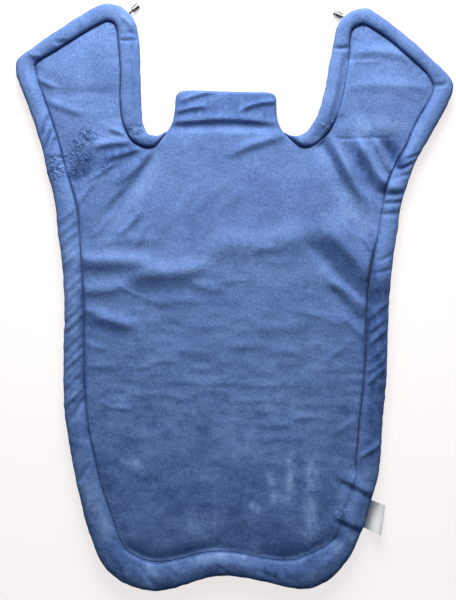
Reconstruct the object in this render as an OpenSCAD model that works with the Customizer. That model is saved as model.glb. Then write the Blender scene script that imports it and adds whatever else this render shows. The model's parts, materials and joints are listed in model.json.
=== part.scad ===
// Soft-covered shielding apron, lying face up on a table.
// A body panel, two shoulder wings and a neck collar, each a plush cover over padding and
// flexible shielding sheets, edged with padded rolls. Two magnetic clasps close the wings
// behind the neck, and a blank care label is sewn into one side.
// Millimetres, +Z up, +Y towards the neck, origin under the middle of the body panel.

/* [Body panel] */
// Width between the side seams where they break at the chest
chest_w = 414; // [370:2:450]
// Width between the side seams where they break at the hips
hip_w = 389; // [350:2:420]
// Width between the lower corners of the panel, before they are rounded
hem_w = 280; // [250:2:310]
// Distance from a lower corner in to the lowest point of its hem lobe
lobe_in = 65; // [62:1:80]
// Height of the neck notch seams above the origin
notch_y = 297; // [270:1:330]
// Distance from the notch seams down to the chest break
chest_drop = 80; // [50:1:120]
// Distance from the notch seams down to the hip break
hip_drop = 382; // [300:1:430]
// Distance from the notch seams down to the lowest points of the hem
hem_drop = 582; // [520:1:640]
// Rise of the hem between its two lobes
hem_rise = 21; // [10:1:35]
// Radius of the lower corners
hem_corner_r = 55; // [30:1:60]
// Radius of the slow bends in the side and hem lines
side_bend_r = 260; // [150:5:300]
// Radius of the bends at the hem lobes and the rise between them
hem_bend_r = 90; // [50:5:120]

/* [Wings] */
// Distance from the centre line to a wing's inner seam at its notch
wing_in_x = 147; // [140:1:155]
// Radius of the notch between a wing and the collar, on the seam
notch_r = 40; // [30:1:44]
// Distance from the centre line to a wing's top corner
wing_top_x = 148; // [144:1:165]
// Height of a wing's top corner above the notch seam
wing_top_rise = 187; // [160:1:220]
// Distance from the centre line to a wing's outer corner
wing_out_x = 269; // [250:1:290]
// Height of a wing's outer corner above the notch seam
wing_out_rise = 118; // [95:1:140]
// Radius of a wing's top corner
wing_top_r = 14; // [8:1:20]
// Radius of a wing's outer corner
wing_out_r = 10; // [6:1:16]
// Slope of the shoulder fold, falling outwards
fold_angle = 22; // [14:1:28]
// How far down the inner edge the two edge rolls of a wing meet
roll_join = 38; // [34:1:60]

/* [As it lies] */
// Distance in from the side of the chest of the point that a wing turns about
wing_pivot_in = 117; // [60:1:150]
// Distance of that point below the bottom of the notches
wing_pivot_drop = 49; // [20:1:90]
// Outward turn of the left wing on the table
left_wing_turn = 0; // [-4:0.5:10]
// Outward turn of the right wing on the table
right_wing_turn = 8; // [-4:0.5:10]
// Sideways turn of the left clasp on its cord
left_clasp_turn = 6; // [-35:1:35]
// Sideways turn of the right clasp on its cord
right_clasp_turn = 29; // [-35:1:35]

/* [Collar] */
// Width of the collar where it folds up from the body
collar_root_w = 152; // [130:2:170]
// Width of the neck panel at the notches
neck_w = 194; // [184:2:200]
// Width of the collar along its top edge
collar_top_w = 141; // [110:1:160]
// Height of the collar's fold above the notch seams
collar_fold_rise = 33; // [24:1:40]
// Height of the collar above its fold
collar_h = 46; // [30:1:70]
// Radius of the collar's top corners
collar_corner_r = 8; // [4:1:15]

/* [Layers] */
// Thickness of the plush covers
cover_t = 2; // [1:0.1:3]
// Thickness of the padding behind the shielding sheets
rear_pad_t = 3; // [2:0.5:6]
// Thickness of one shielding sheet
shield_t = 1.2; // [0.5:0.1:2]
// Height of the covers at their seams
seam_h = 9; // [8.5:0.5:12]
// Height of the body panel and the wings in the middle
crown_h = 19; // [16:0.5:24]
// Width of the level field in the middle of the body
level_w = 180; // [120:5:220]
// Height of the collar in the middle
collar_crown_h = 15; // [14:0.5:20]
// Width of the sewn margin around a panel, where the two covers meet
margin_w = 8; // [6:0.5:10]
// Distance that the inner layers stop short of a fold
fold_clear = 22; // [14:1:30]
// Clearance between soft pieces
soft_gap = 0.3; // [0.2:0.05:0.5]

/* [Edge rolls] */
// Width of the rolls on the wings and at the chest
roll_w = 28; // [22:0.5:32]
// Width of the rolls along the top edges of the wings
top_roll_w = 24; // [20:0.5:30]
// Width of the side rolls at the hips
hip_roll_w = 30; // [24:0.5:36]
// Width of the roll along the hem
hem_roll_w = 37; // [30:0.5:44]
// Width of the rolls in the notches
notch_roll_w = 17; // [14:0.5:22]
// Height of the rolls
roll_h = 20; // [17:0.5:24]
// Number of sides of a roll's section
roll_sides = 12; // [8:4:12]

/* [Clasps] */
// Diameter of the clasp barrels
barrel_d = 9; // [8.6:0.1:12]
// Diameter of the socket
socket_d = 7.2; // [6.8:0.1:7.6]
// Depth of the socket
socket_l = 2.8; // [2:0.1:3.5]
// Length of the plug that enters the socket
plug_l = 2.5; // [1.5:0.1:3]
// Radial clearance of the plug in the socket
plug_gap = 0.1; // [0.05:0.01:0.2]
// Diameter of the magnets
magnet_d = 6; // [5:0.1:6.2]
// Thickness of the magnets
magnet_t = 3.2; // [2:0.1:5]
// Diameter of the elastic cords
cord_d = 3; // [2:0.1:4]
// Length of cord that shows between the roll and the barrel
cord_l = 2; // [2:0.5:10]
// Length of the knot that holds the cord in its barrel
knot_l = 2.4; // [2:0.1:4]
// Thickness of the barrel wall at the cord
barrel_end_t = 2.2; // [1.5:0.1:3]
// Clearance between the metal pieces of a clasp
metal_gap = 0.1; // [0.05:0.01:0.15]

/* [Care label] */
// Length of the label along the side seam
label_l = 40; // [20:1:60]
// Width that stands out from the side roll
label_w = 24; // [15:1:40]
// Thickness of the label tape
label_t = 0.5; // [0.3:0.1:0.8]
// Height of the label's middle above the lower corners of the hem
label_rise = 79; // [69:1:145]

/* [Hidden] */
$fn = 48;
// Largest turn between two points of an arc
arc_step = 15;
// Shares of the way from a seam to the level field of a panel at which its rings lie
crown_shares = [0, 0.07, 0.18, 0.38, 0.66, 0.92];
inner_shares = [0, 0.12, 0.34, 0.66, 0.92];

fold_y = notch_y + collar_fold_rise;
stack_h = cover_t + rear_pad_t + 2 * shield_t;
fold_z = max(roll_h, crown_h);
notch_centre = [wing_in_x - notch_r, notch_y + notch_r];
fold_out = [cos(fold_angle), -sin(fold_angle)];
fold_up = [sin(fold_angle), cos(fold_angle)];
wing_pivot = [chest_w / 2 - wing_pivot_in, notch_y - wing_pivot_drop];
hem_join_share = 0.6;

// Plane geometry

function unit(v) = v / norm(v);
function outward(v) = [-v[1], v[0]];
function flip_x(p) = [-p[0], p[1]];
function reversed(list) = [for (i = [len(list) - 1 : -1 : 0]) list[i]];
function mean(points) = [for (k = [0 : len(points[0]) - 1]) sum([for (p = points) p[k]]) / len(points)];
function sum(list, i = 0) = i < len(list) ? list[i] + sum(list, i + 1) : 0;
function between(value, low, high) = min(max(value, low), high);

// A point turned clockwise about a pivot
function turned(p, pivot, angle) =
    let (d = p - pivot)
    pivot + [d[0] * cos(angle) + d[1] * sin(angle), d[1] * cos(angle) - d[0] * sin(angle)];

// The arc that rounds the corner b between a and c
function corner_arc(a, b, c, r) =
    let (
        u = unit(a - b),
        v = unit(c - b),
        half = acos(between(u * v, -1, 1)) / 2,
        centre = b + unit(u + v) * r / sin(half),
        from = b + u * r / tan(half) - centre,
        start = atan2(from[1], from[0]),
        side = u[0] * v[1] - u[1] * v[0] > 0 ? -1 : 1,
        sweep = side * (180 - 2 * half),
        steps = ceil(abs(sweep) / arc_step)
    )
    [for (k = [0 : steps]) centre + r * [cos(start + sweep * k / steps), sin(start + sweep * k / steps)]];

// An open chain of corners, each [point, radius], with its inner corners rounded
function rounded_chain(corners) =
    let (last = len(corners) - 1)
    [for (i = [0 : last])
        each i == 0 || i == last || corners[i][1] == 0
            ? [corners[i][0]]
            : corner_arc(corners[i - 1][0], corners[i][0], corners[i + 1][0], corners[i][1])];

// The part of a path, or of a closed outline, that lies on the side of a line that n points to
function cut(path, p, n, closed) =
    let (last = len(path) - 1)
    [for (i = [0 : last])
        let (
            a = path[i],
            b = path[(i + 1) % (last + 1)],
            da = (a - p) * n,
            db = (b - p) * n,
            crosses = (da > 0) != (db > 0) && (closed || i < last)
        )
        each concat(da >= 0 ? [a] : [], crosses && da != 0 ? [a + (b - a) * da / (da - db)] : [])];

// The pattern: half of it, measured outwards from the centre line, with its wing turned as it lies

function wing_top(turn) = turned([wing_top_x, notch_y + wing_top_rise], wing_pivot, turn);
function wing_outer(turn) = turned([wing_out_x, notch_y + wing_out_rise], wing_pivot, turn);
wing_in = [wing_in_x, notch_y];
neck_edge = [neck_w / 2, notch_y];
collar_edge = [collar_root_w / 2, fold_y];
chest_break = [chest_w / 2, notch_y - chest_drop];
hip_break = [hip_w / 2, notch_y - hip_drop];
hem_corner = [hem_w / 2, notch_y - hem_drop];
lobe = hem_corner - [lobe_in, 0];
hem_middle = [0, notch_y - hem_drop + hem_rise];
hem_join = hip_break + (hem_corner - hip_break) * hem_join_share;
function join_point(turn) = wing_top(turn) + unit(wing_in - wing_top(turn)) * roll_join;

function half_corners(turn) = [
    [collar_edge, 0],
    [neck_edge, 0],
    [wing_in, notch_r],
    [wing_top(turn), wing_top_r],
    [wing_outer(turn), wing_out_r],
    [chest_break, side_bend_r],
    [hip_break, side_bend_r],
    [hem_corner, hem_corner_r],
    [lobe, hem_bend_r],
    [hem_middle, hem_bend_r]
];

// Seam outline of the whole apron, clockwise from the right end of the collar's fold
function mirrored(corners) = [for (c = reversed(corners)) [flip_x(c[0]), c[1]]];
function without_ends(corners) = [for (i = [1 : len(corners) - 1]) corners[i]];
seam_outline = rounded_chain(concat(
    half_corners(right_wing_turn),
    without_ends(mirrored(half_corners(left_wing_turn)))
));

// Outlines on one side of the folds. clear is the distance kept from the fold lines.
function wing_outline(turn, clear) =
    cut(
        rounded_chain([for (i = [1 : 6]) half_corners(turn)[i]]),
        notch_centre + fold_up * clear, fold_up, true
    );
function body_outline(clear) =
    cut(
        cut(
            cut(seam_outline, notch_centre - fold_up * clear, -fold_up, true),
            flip_x(notch_centre - fold_up * clear), -flip_x(fold_up), true
        ),
        [0, fold_y - clear], [0, -1], true
    );
collar_corners = [
    [[-collar_root_w / 2, fold_y], 0],
    [[-collar_top_w / 2, fold_y + collar_h], collar_corner_r],
    [[collar_top_w / 2, fold_y + collar_h], collar_corner_r],
    [[collar_root_w / 2, fold_y], 0]
];
function collar_outline(clear) = cut(rounded_chain(collar_corners), [0, fold_y + clear], [0, 1], true);

// Skins

// A solid through a list of rings with the same number of points, capped or closed on itself
module loft(rings, closed = false) {
    n = len(rings[0]);
    m = len(rings);
    spans = closed ? m : m - 1;
    sides = [for (i = [0 : spans - 1], j = [0 : n - 1])
        let (
            a = i * n + j,
            b = i * n + (j + 1) % n,
            c = (i + 1) % m * n + j,
            d = (i + 1) % m * n + (j + 1) % n
        )
        each [[a, d, b], [a, c, d]]];
    caps = closed ? [] : [for (j = [0 : n - 1])
        each [[m * n, j, (j + 1) % n], [m * n + 1, (m - 1) * n + (j + 1) % n, (m - 1) * n + j]]];
    ends = closed ? [] : [mean(rings[0]), mean(rings[m - 1])];
    polyhedron(concat([for (r = rings) each r], ends), concat(sides, caps), convexity = 8);
}

// Padded panels: rings that close in from the seam on a level field, given by its two corners

function foot(p, field) = [for (k = [0, 1]) between(p[k], field[0][k], field[1][k])];

function crown_table(top) =
    [for (u = crown_shares) [u, seam_h + (top - seam_h) * sqrt(1 - (1 - u) * (1 - u))]];

// One ring of the outline, drawn in by a margin and by a share of the way left to the field
function crown_ring(outline, field, top, share, margin, drop) =
    [for (p = outline)
        let (
            way = foot(p, field) - p,
            least = margin / norm(way),
            u = least + (1 - least) * share,
            q = p + way * u
        )
        [q[0], q[1], lookup(u, crown_table(top)) - drop]];
function flat_ring(outline, field, margin, z) =
    [for (p = crown_ring(outline, field, crown_h, 0, margin, 0)) [p[0], p[1], z]];
function inset(outline, field, margin) =
    [for (p = flat_ring(outline, field, margin, 0)) [p[0], p[1]]];

// A front cover: a crowned shell whose margin comes down onto the back cover
module front_cover(outline, field, top) {
    color("royalblue")
        loft(concat(
            [for (u = reversed(crown_shares)) crown_ring(outline, field, top, u, 0, 0)],
            [flat_ring(outline, field, 0, cover_t), flat_ring(outline, field, margin_w, cover_t)],
            [for (u = inner_shares) crown_ring(outline, field, top, u, margin_w, cover_t)]
        ));
}

// The padding under a front cover, from the shielding sheets up to the cover's inside
module crowned_padding(outline, field, top, base) {
    clear = margin_w + 2 * soft_gap;
    color("ivory")
        loft(concat(
            [for (u = reversed(inner_shares)) crown_ring(outline, field, top, u, clear, cover_t + 2 * soft_gap)],
            [flat_ring(outline, field, clear, base)]
        ));
}

// A flat layer inside the sewn margin
module flat_layer(outline, field, z, thickness, tint) {
    color(tint)
        translate([0, 0, z])
            linear_extrude(thickness)
                polygon(inset(outline, field, margin_w + 2 * soft_gap));
}

module back_cover(outline) {
    color("royalblue")
        linear_extrude(cover_t)
            polygon(outline);
}

// Edge rolls: tubes along a stretch of the seam

function tangent(path, i) =
    let (last = len(path) - 1)
    unit(path[min(i + 1, last)] - path[max(i - 1, 0)]);

// Rings of a tube that lies outside a path. wall is how far it is drawn in from the roll's surface.
// The end rings slide along the path onto the planes [point, normal] in ends.
function tube_rings(path, widths, wall, ends) =
    let (last = len(path) - 1)
    [for (i = [0 : last])
        let (
            t = tangent(path, i),
            n = outward(t),
            bend = i == 0 || i == last ? 1 : max(n * outward(unit(path[i + 1] - path[i])), 0.7),
            middle = path[i] + n * (soft_gap + widths[i] / 2) / bend
        )
        [for (j = [0 : roll_sides - 1])
            let (
                a = 360 * (j + 0.5) / roll_sides,
                reach = 1 / cos(180 / roll_sides),
                q = middle + n * (widths[i] / 2 - wall) * reach * cos(a) / bend,
                plane = ends[i == 0 ? 0 : 1],
                slide = i == 0 || i == last ? (plane[0] - q) * plane[1] / (t * plane[1]) : 0,
                r = q + t * slide
            )
            [r[0], r[1], roll_h / 2 + (roll_h / 2 - wall) * reach * sin(a)]]];

module edge_roll(path, widths, ends) {
    color("royalblue")
        loft(
            concat(
                tube_rings(path, widths, 0, ends),
                reversed(tube_rings(path, widths, cover_t, ends))
            ),
            closed = true
        );
}

module roll_filler(path, widths, ends) {
    color("ivory")
        loft(tube_rings(path, widths, cover_t + soft_gap, ends));
}

// End planes of the rolls, each [point, normal], with a clearance along the path
function fold_plane(clear) = [notch_centre + fold_up * clear, fold_up];
function square_plane(a, b, clear) = [a + unit(b - a) * clear, unit(b - a)];
function neck_plane(clear) =
    let (n = outward(unit(neck_edge - collar_edge)))
    [neck_edge + n * clear, n];

// Widths of the rolls, which change towards the notches and the hem
function widest_point(turn) =
    wing_in + (wing_top(turn) - wing_in) * 2 * notch_r / (wing_top(turn)[1] - notch_y);
function notch_widths(path) =
    [for (p = path) lookup(p[1], [[notch_y, notch_roll_w], [notch_y + 2 * notch_r, roll_w]])];
function wing_widths(path) =
    [for (i = [0 : len(path) - 1])
        let (up = max(outward(tangent(path, i))[1], 0))
        roll_w - (roll_w - top_roll_w) * up * up];
function side_width(y) =
    lookup(y, [
        [hem_corner[1] + hem_corner_r, hem_roll_w],
        [hip_break[1], hip_roll_w],
        [chest_break[1], roll_w]
    ]);
function side_widths(path) = [for (p = path) side_width(p[1])];

// Seam stretches that carry the rolls, on the half pattern
function inner_chain(turn) =
    rounded_chain([[neck_edge, 0], [wing_in, notch_r], [widest_point(turn), 0], [join_point(turn), 0]]);
function outer_chain(turn) =
    rounded_chain([
        [join_point(turn), 0], [wing_top(turn), wing_top_r], [wing_outer(turn), wing_out_r], [chest_break, 0]
    ]);
function side_chain(turn) =
    rounded_chain([[wing_outer(turn), 0], [chest_break, side_bend_r], [hip_break, side_bend_r], [hem_join, 0]]);
function above_fold(chain, clear) = cut(chain, fold_plane(clear)[0], fold_up, false);
function below_fold(chain, clear) = cut(chain, fold_plane(-clear)[0], -fold_up, false);
hem_half = [[hem_join, 0], [hem_corner, hem_corner_r], [lobe, hem_bend_r], [hem_middle, hem_bend_r]];
hem_path = rounded_chain(concat(hem_half, without_ends(mirrored(hem_half))));

// kind is "roll" or "filler", and a filler's ends stop further back
module roll_piece(kind, path, widths, ends) {
    if (kind == "roll") edge_roll(path, widths, ends);
    else roll_filler(path, widths, ends);
}
function end_clear(kind) = kind == "roll" ? soft_gap / 2 : soft_gap;
function fold_end(kind) = kind == "roll" ? soft_gap / 2 : fold_clear;

module notch_piece(kind, turn) {
    path = below_fold(inner_chain(turn), fold_end(kind));
    roll_piece(kind, path, notch_widths(path), [
        neck_plane(soft_gap + end_clear(kind)),
        fold_plane(-fold_end(kind))
    ]);
}

module wing_inner_piece(kind, turn) {
    path = above_fold(inner_chain(turn), fold_end(kind));
    roll_piece(kind, path, notch_widths(path), [
        fold_plane(fold_end(kind)),
        square_plane(join_point(turn), wing_in, end_clear(kind))
    ]);
}

module wing_outer_piece(kind, turn) {
    path = above_fold(outer_chain(turn), fold_end(kind));
    roll_piece(kind, path, wing_widths(path), [
        square_plane(join_point(turn), wing_top(turn), end_clear(kind)),
        fold_plane(fold_end(kind))
    ]);
}

module side_piece(kind, turn) {
    path = below_fold(side_chain(turn), fold_end(kind));
    roll_piece(kind, path, side_widths(path), [
        fold_plane(-fold_end(kind)),
        square_plane(hem_join, hip_break, end_clear(kind))
    ]);
}

module hem_piece(kind) {
    clear = end_clear(kind);
    near = square_plane(hem_join, hem_corner, clear);
    far = [flip_x(near[0]), flip_x(near[1])];
    roll_piece(kind, hem_path, side_widths(hem_path), [near, far]);
}

// Level fields in the middle of the panels

body_field = [[-level_w / 2, hem_corner[1] + hem_w / 2], [level_w / 2, notch_y - hem_w / 2]];
function wing_field(turn) =
    let (
        middle = (wing_in + wing_top(turn) + wing_outer(turn) + chest_break) / 4,
        lift = fold_up * wing_out_rise / 3
    )
    [middle + lift, middle + lift];
collar_field = [[-collar_top_w / 4, fold_y + collar_h / 2], [collar_top_w / 4, fold_y + collar_h / 2]];

// Clasps: built along +X from the ball of the anchor, then laid at the wing's corner

anchor_l = 3.5;
ball_r = cord_d / 2;
cord_hole_d = cord_d + 2 * metal_gap;
seat_d = magnet_d + 2 * metal_gap;
barrel_x = ball_r + cord_l;
seat_x = barrel_x + barrel_end_t;
magnet_x = seat_x + knot_l + metal_gap;
socket_x = magnet_x + magnet_t;
plug_root_l = 1.5;
plug_neck_l = 1;
plug_face_x = magnet_x + magnet_t + plug_root_l;
edge_r = 0.6;

// Where the cord leaves the roll, and which way, on the half pattern
exit_angle = 134;
function corner_centre(turn) =
    let (
        u = unit(wing_in - wing_top(turn)),
        v = unit(wing_outer(turn) - wing_top(turn)),
        half = acos(u * v) / 2
    )
    wing_top(turn) + unit(u + v) * wing_top_r / sin(half);
function clasp_place(turn) =
    let (reach = wing_top_r + soft_gap + (roll_w + top_roll_w) / 2)
    corner_centre(turn) + reach * [cos(exit_angle - turn), sin(exit_angle - turn)];

// Lays what is built along +X at a clasp. side is 1 for the right half and -1 for the left.
module at_clasp(side, turn, swing) {
    p = clasp_place(turn);
    mirror([side < 0 ? 1 : 0, 0, 0])
        translate([p[0], p[1], barrel_d / 2])
            rotate([0, 0, exit_angle - turn + swing])
                children();
}

module turned_piece(profile) {
    rotate([0, 90, 0])
        rotate_extrude()
            polygon([for (p = profile) [p[1], p[0]]]);
}

// Section of a barrel with chamfered rims, bored for its cord and its magnet. x1 is its open end.
function barrel_section(x1, bore) =
    let (r = barrel_d / 2, x0 = barrel_x)
    concat(
        [[x0, cord_hole_d / 2], [x0, r - edge_r], [x0 + edge_r, r]],
        [[x1 - edge_r, r], [x1, r - edge_r]],
        bore,
        [[seat_x, seat_d / 2], [seat_x, cord_hole_d / 2]]
    );

module cord_anchor() {
    color("dimgray") {
        sphere(r = ball_r);
        rotate([0, -90, 0]) cylinder(d = cord_d, h = anchor_l);
    }
}

module clasp_cord() {
    color("dimgray")
        translate([ball_r + soft_gap, 0, 0])
            rotate([0, 90, 0])
                cylinder(d = cord_d, h = seat_x - ball_r - soft_gap);
}

module clasp_knot() {
    r = magnet_d / 2 - metal_gap;
    color("dimgray")
        turned_piece([
            [seat_x, 0], [seat_x, r - edge_r], [seat_x + edge_r, r],
            [seat_x + knot_l - edge_r, r], [seat_x + knot_l, r - edge_r], [seat_x + knot_l, 0]
        ]);
}

module clasp_magnet() {
    color("slategray")
        translate([magnet_x, 0, 0])
            rotate([0, 90, 0])
                cylinder(d = magnet_d, h = magnet_t);
}

module socket_barrel() {
    color("silver")
        turned_piece(barrel_section(socket_x + socket_l, [
            [socket_x + socket_l, socket_d / 2], [socket_x, socket_d / 2], [socket_x, seat_d / 2]
        ]));
}

module plug_barrel() {
    color("silver")
        turned_piece(barrel_section(plug_face_x, [[plug_face_x, seat_d / 2]]));
}

module clasp_plug() {
    r = socket_d / 2 - plug_gap;
    neck_r = magnet_d / 2 - metal_gap;
    tip_x = plug_face_x + plug_neck_l + plug_l;
    color("silver")
        turned_piece([
            [plug_face_x - plug_root_l, 0], [plug_face_x - plug_root_l, neck_r],
            [plug_face_x + plug_neck_l, neck_r], [plug_face_x + plug_neck_l, r],
            [tip_x, r], [tip_x, 0]
        ]);
}

// Care label: a folded tape that droops from the side roll to the table

// Outer edge of the side roll at a height on the straight stretch from the hips to the hem
function roll_edge(y) =
    let (run = hem_corner - hip_break)
    hip_break + run * (y - hip_break[1]) / run[1] + outward(unit(run)) * (soft_gap + side_width(y));
label_y = hem_corner[1] + label_rise;
label_upper = roll_edge(label_y + label_l / 2);
label_lower = roll_edge(label_y - label_l / 2);
label_out = outward(unit(label_lower - label_upper));
label_root = (label_upper + label_lower) / 2 + label_out * soft_gap;

module care_label() {
    color("white")
        translate([label_root[0], label_root[1], 0])
            rotate([90, 0, atan2(label_out[1], label_out[0])])
                linear_extrude(label_l, center = true)
                    polygon(label_section());
}

// Section of the folded tape: x outwards from the roll, y up. The leaves part towards the fold.
function label_section() =
    let (
        steps = 6,
        root_z = roll_h / 2,
        slit = label_t / 4,
        fold_r = 3 * label_t,
        far_x = label_w - fold_r,
        sag = root_z - fold_r - slit,
        leaf = function (near, far) [for (k = [0 : steps])
            [far_x * k / steps, root_z - sag * sin(90 * k / steps) + near + (far - near) * k / steps]],
        fold = function (r) [for (k = [1 : steps - 1])
            [far_x + r * sin(180 * k / steps), root_z - sag + r * cos(180 * k / steps)]],
        outer = slit + label_t,
        inner_r = fold_r - label_t
    )
    concat(
        leaf(outer, fold_r), fold(fold_r), reversed(leaf(-outer, -fold_r)),
        leaf(-slit, -inner_r), reversed(fold(inner_r)), reversed(leaf(slit, inner_r))
    );

// Sub-parts

module body_layer(kind) {
    outline = body_outline(soft_gap / 2);
    core = body_outline(fold_clear);
    if (kind == "front_cover") front_cover(outline, body_field, crown_h);
    if (kind == "front_padding") crowned_padding(core, body_field, crown_h, stack_h);
    if (kind == "shield_upper") flat_layer(core, body_field, stack_h - shield_t, shield_t, "darkslategray");
    if (kind == "shield_lower") flat_layer(core, body_field, stack_h - 2 * shield_t, shield_t, "darkslategray");
    if (kind == "rear_padding") flat_layer(core, body_field, cover_t, rear_pad_t, "ivory");
    if (kind == "back_cover") back_cover(outline);
}

module wing_layer(kind, side, turn) {
    outline = wing_outline(turn, soft_gap / 2);
    core = wing_outline(turn, fold_clear);
    field = wing_field(turn);
    mirror([side < 0 ? 1 : 0, 0, 0]) {
        if (kind == "front_cover") front_cover(outline, field, crown_h);
        if (kind == "padding") crowned_padding(core, field, crown_h, cover_t + shield_t);
        if (kind == "shield") flat_layer(core, field, cover_t, shield_t, "darkslategray");
        if (kind == "back_cover") back_cover(outline);
    }
}

module collar_layer(kind) {
    outline = collar_outline(soft_gap / 2);
    if (kind == "front_cover") front_cover(outline, collar_field, collar_crown_h);
    if (kind == "padding") crowned_padding(outline, collar_field, collar_crown_h, cover_t + shield_t);
    if (kind == "shield") flat_layer(outline, collar_field, cover_t, shield_t, "darkslategray");
    if (kind == "back_cover") back_cover(outline);
}

module half_roll(part, kind, side, turn) {
    mirror([side < 0 ? 1 : 0, 0, 0]) {
        if (part == "side") side_piece(kind, turn);
        if (part == "notch") notch_piece(kind, turn);
        if (part == "inner") wing_inner_piece(kind, turn);
        if (part == "outer") wing_outer_piece(kind, turn);
    }
}

// The outer roll of a wing, pierced for the cord of its clasp
module pierced_roll(side, turn) {
    difference() {
        half_roll("outer", "roll", side, turn);
        at_clasp(side, turn, 0)
            rotate([0, -90, 0])
                cylinder(d = cord_hole_d, h = anchor_l + 2 * cord_d);
    }
}

body_layer("front_cover");  // body_front_cover
body_layer("front_padding");  // body_front_padding
body_layer("shield_upper");  // body_shield_upper
body_layer("shield_lower");  // body_shield_lower
body_layer("rear_padding");  // body_rear_padding
body_layer("back_cover");  // body_back_cover

half_roll("side", "roll", -1, left_wing_turn);  // left_side_roll
half_roll("side", "filler", -1, left_wing_turn);  // left_side_filler
half_roll("side", "roll", 1, right_wing_turn);  // right_side_roll
half_roll("side", "filler", 1, right_wing_turn);  // right_side_filler
hem_piece("roll");  // hem_roll
hem_piece("filler");  // hem_filler
half_roll("notch", "roll", -1, left_wing_turn);  // left_notch_roll
half_roll("notch", "filler", -1, left_wing_turn);  // left_notch_filler
half_roll("notch", "roll", 1, right_wing_turn);  // right_notch_roll
half_roll("notch", "filler", 1, right_wing_turn);  // right_notch_filler

wing_layer("front_cover", -1, left_wing_turn);  // left_wing_front_cover
wing_layer("padding", -1, left_wing_turn);  // left_wing_padding
wing_layer("shield", -1, left_wing_turn);  // left_wing_shield
wing_layer("back_cover", -1, left_wing_turn);  // left_wing_back_cover
pierced_roll(-1, left_wing_turn);  // left_wing_outer_roll
half_roll("outer", "filler", -1, left_wing_turn);  // left_wing_outer_filler
half_roll("inner", "roll", -1, left_wing_turn);  // left_wing_inner_roll
half_roll("inner", "filler", -1, left_wing_turn);  // left_wing_inner_filler
at_clasp(-1, left_wing_turn, 0) cord_anchor();  // left_cord_anchor

wing_layer("front_cover", 1, right_wing_turn);  // right_wing_front_cover
wing_layer("padding", 1, right_wing_turn);  // right_wing_padding
wing_layer("shield", 1, right_wing_turn);  // right_wing_shield
wing_layer("back_cover", 1, right_wing_turn);  // right_wing_back_cover
pierced_roll(1, right_wing_turn);  // right_wing_outer_roll
half_roll("outer", "filler", 1, right_wing_turn);  // right_wing_outer_filler
half_roll("inner", "roll", 1, right_wing_turn);  // right_wing_inner_roll
half_roll("inner", "filler", 1, right_wing_turn);  // right_wing_inner_filler
at_clasp(1, right_wing_turn, 0) cord_anchor();  // right_cord_anchor

collar_layer("front_cover");  // collar_front_cover
collar_layer("padding");  // collar_padding
collar_layer("shield");  // collar_shield
collar_layer("back_cover");  // collar_back_cover

at_clasp(-1, left_wing_turn, left_clasp_turn) clasp_cord();  // left_clasp_cord
at_clasp(-1, left_wing_turn, left_clasp_turn) clasp_knot();  // left_clasp_knot
at_clasp(-1, left_wing_turn, left_clasp_turn) clasp_magnet();  // left_clasp_magnet
at_clasp(-1, left_wing_turn, left_clasp_turn) socket_barrel();  // left_clasp_socket
at_clasp(1, right_wing_turn, right_clasp_turn) clasp_cord();  // right_clasp_cord
at_clasp(1, right_wing_turn, right_clasp_turn) clasp_knot();  // right_clasp_knot
at_clasp(1, right_wing_turn, right_clasp_turn) clasp_magnet();  // right_clasp_magnet
at_clasp(1, right_wing_turn, right_clasp_turn) plug_barrel();  // right_clasp_barrel
at_clasp(1, right_wing_turn, right_clasp_turn) clasp_plug();  // right_clasp_plug

care_label();
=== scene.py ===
import json
import math

import bpy
import numpy as np
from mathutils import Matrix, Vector, kdtree, noise
from mathutils.geometry import delaunay_2d_cdt


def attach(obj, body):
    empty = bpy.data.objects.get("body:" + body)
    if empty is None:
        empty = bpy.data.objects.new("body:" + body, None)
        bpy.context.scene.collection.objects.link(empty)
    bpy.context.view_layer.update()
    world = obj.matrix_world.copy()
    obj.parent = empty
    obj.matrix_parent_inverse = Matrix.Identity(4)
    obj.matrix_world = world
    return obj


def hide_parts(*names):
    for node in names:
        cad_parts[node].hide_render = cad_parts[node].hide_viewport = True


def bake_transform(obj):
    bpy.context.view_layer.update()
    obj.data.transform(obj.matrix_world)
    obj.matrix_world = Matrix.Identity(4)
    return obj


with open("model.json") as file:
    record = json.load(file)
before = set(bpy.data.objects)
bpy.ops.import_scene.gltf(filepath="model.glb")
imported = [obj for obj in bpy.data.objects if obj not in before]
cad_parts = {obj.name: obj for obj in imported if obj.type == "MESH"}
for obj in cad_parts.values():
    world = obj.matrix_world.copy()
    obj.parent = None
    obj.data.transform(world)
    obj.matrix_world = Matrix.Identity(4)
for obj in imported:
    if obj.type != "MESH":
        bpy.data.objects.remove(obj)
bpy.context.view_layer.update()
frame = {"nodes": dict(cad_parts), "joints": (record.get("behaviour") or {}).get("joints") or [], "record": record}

MM = 0.001

# How the photograph lies on the frame: the size of a pixel, and the pixel under the origin
PIXEL = 1.402 * MM
ORIGIN_PIXEL = (226.0, 360.0)

# Stations of the edge roll, from the left end of the neck round the hem to the right end.
# Each is a point of the outline and a point of the seam: x, y, x, y in pixels.
LEFT_NOTCH = [
    (166, 131.5, 166, 132.5), (161, 134.5, 160, 141), (155, 136, 155, 146.5), (150, 135, 149, 148),
    (146.5, 132, 141, 146), (144, 127, 133, 141), (142.7, 121, 127, 132), (142, 115, 123.5, 123),
    (141.5, 106, 121.5, 112),
]
LEFT_WING_INSIDE = [
    (141, 95, 120.5, 100), (140.5, 75, 121, 75), (140, 55, 120, 55), (139, 40, 118.5, 40),
]
LEFT_WING_TOP = [
    (137.5, 30, 118, 33), (134.5, 20.5, 117, 28.5), (129, 13.5, 115, 25), (122, 8, 112, 22.8),
    (115, 5.5, 109, 22), (107.5, 4.5, 106, 22.2), (100, 6, 102, 24), (92, 10, 97, 26.5),
    (80, 17, 88, 31.5), (60, 30, 68, 44), (45, 40, 53, 53.5), (31, 50, 44, 58.5),
]
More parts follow.
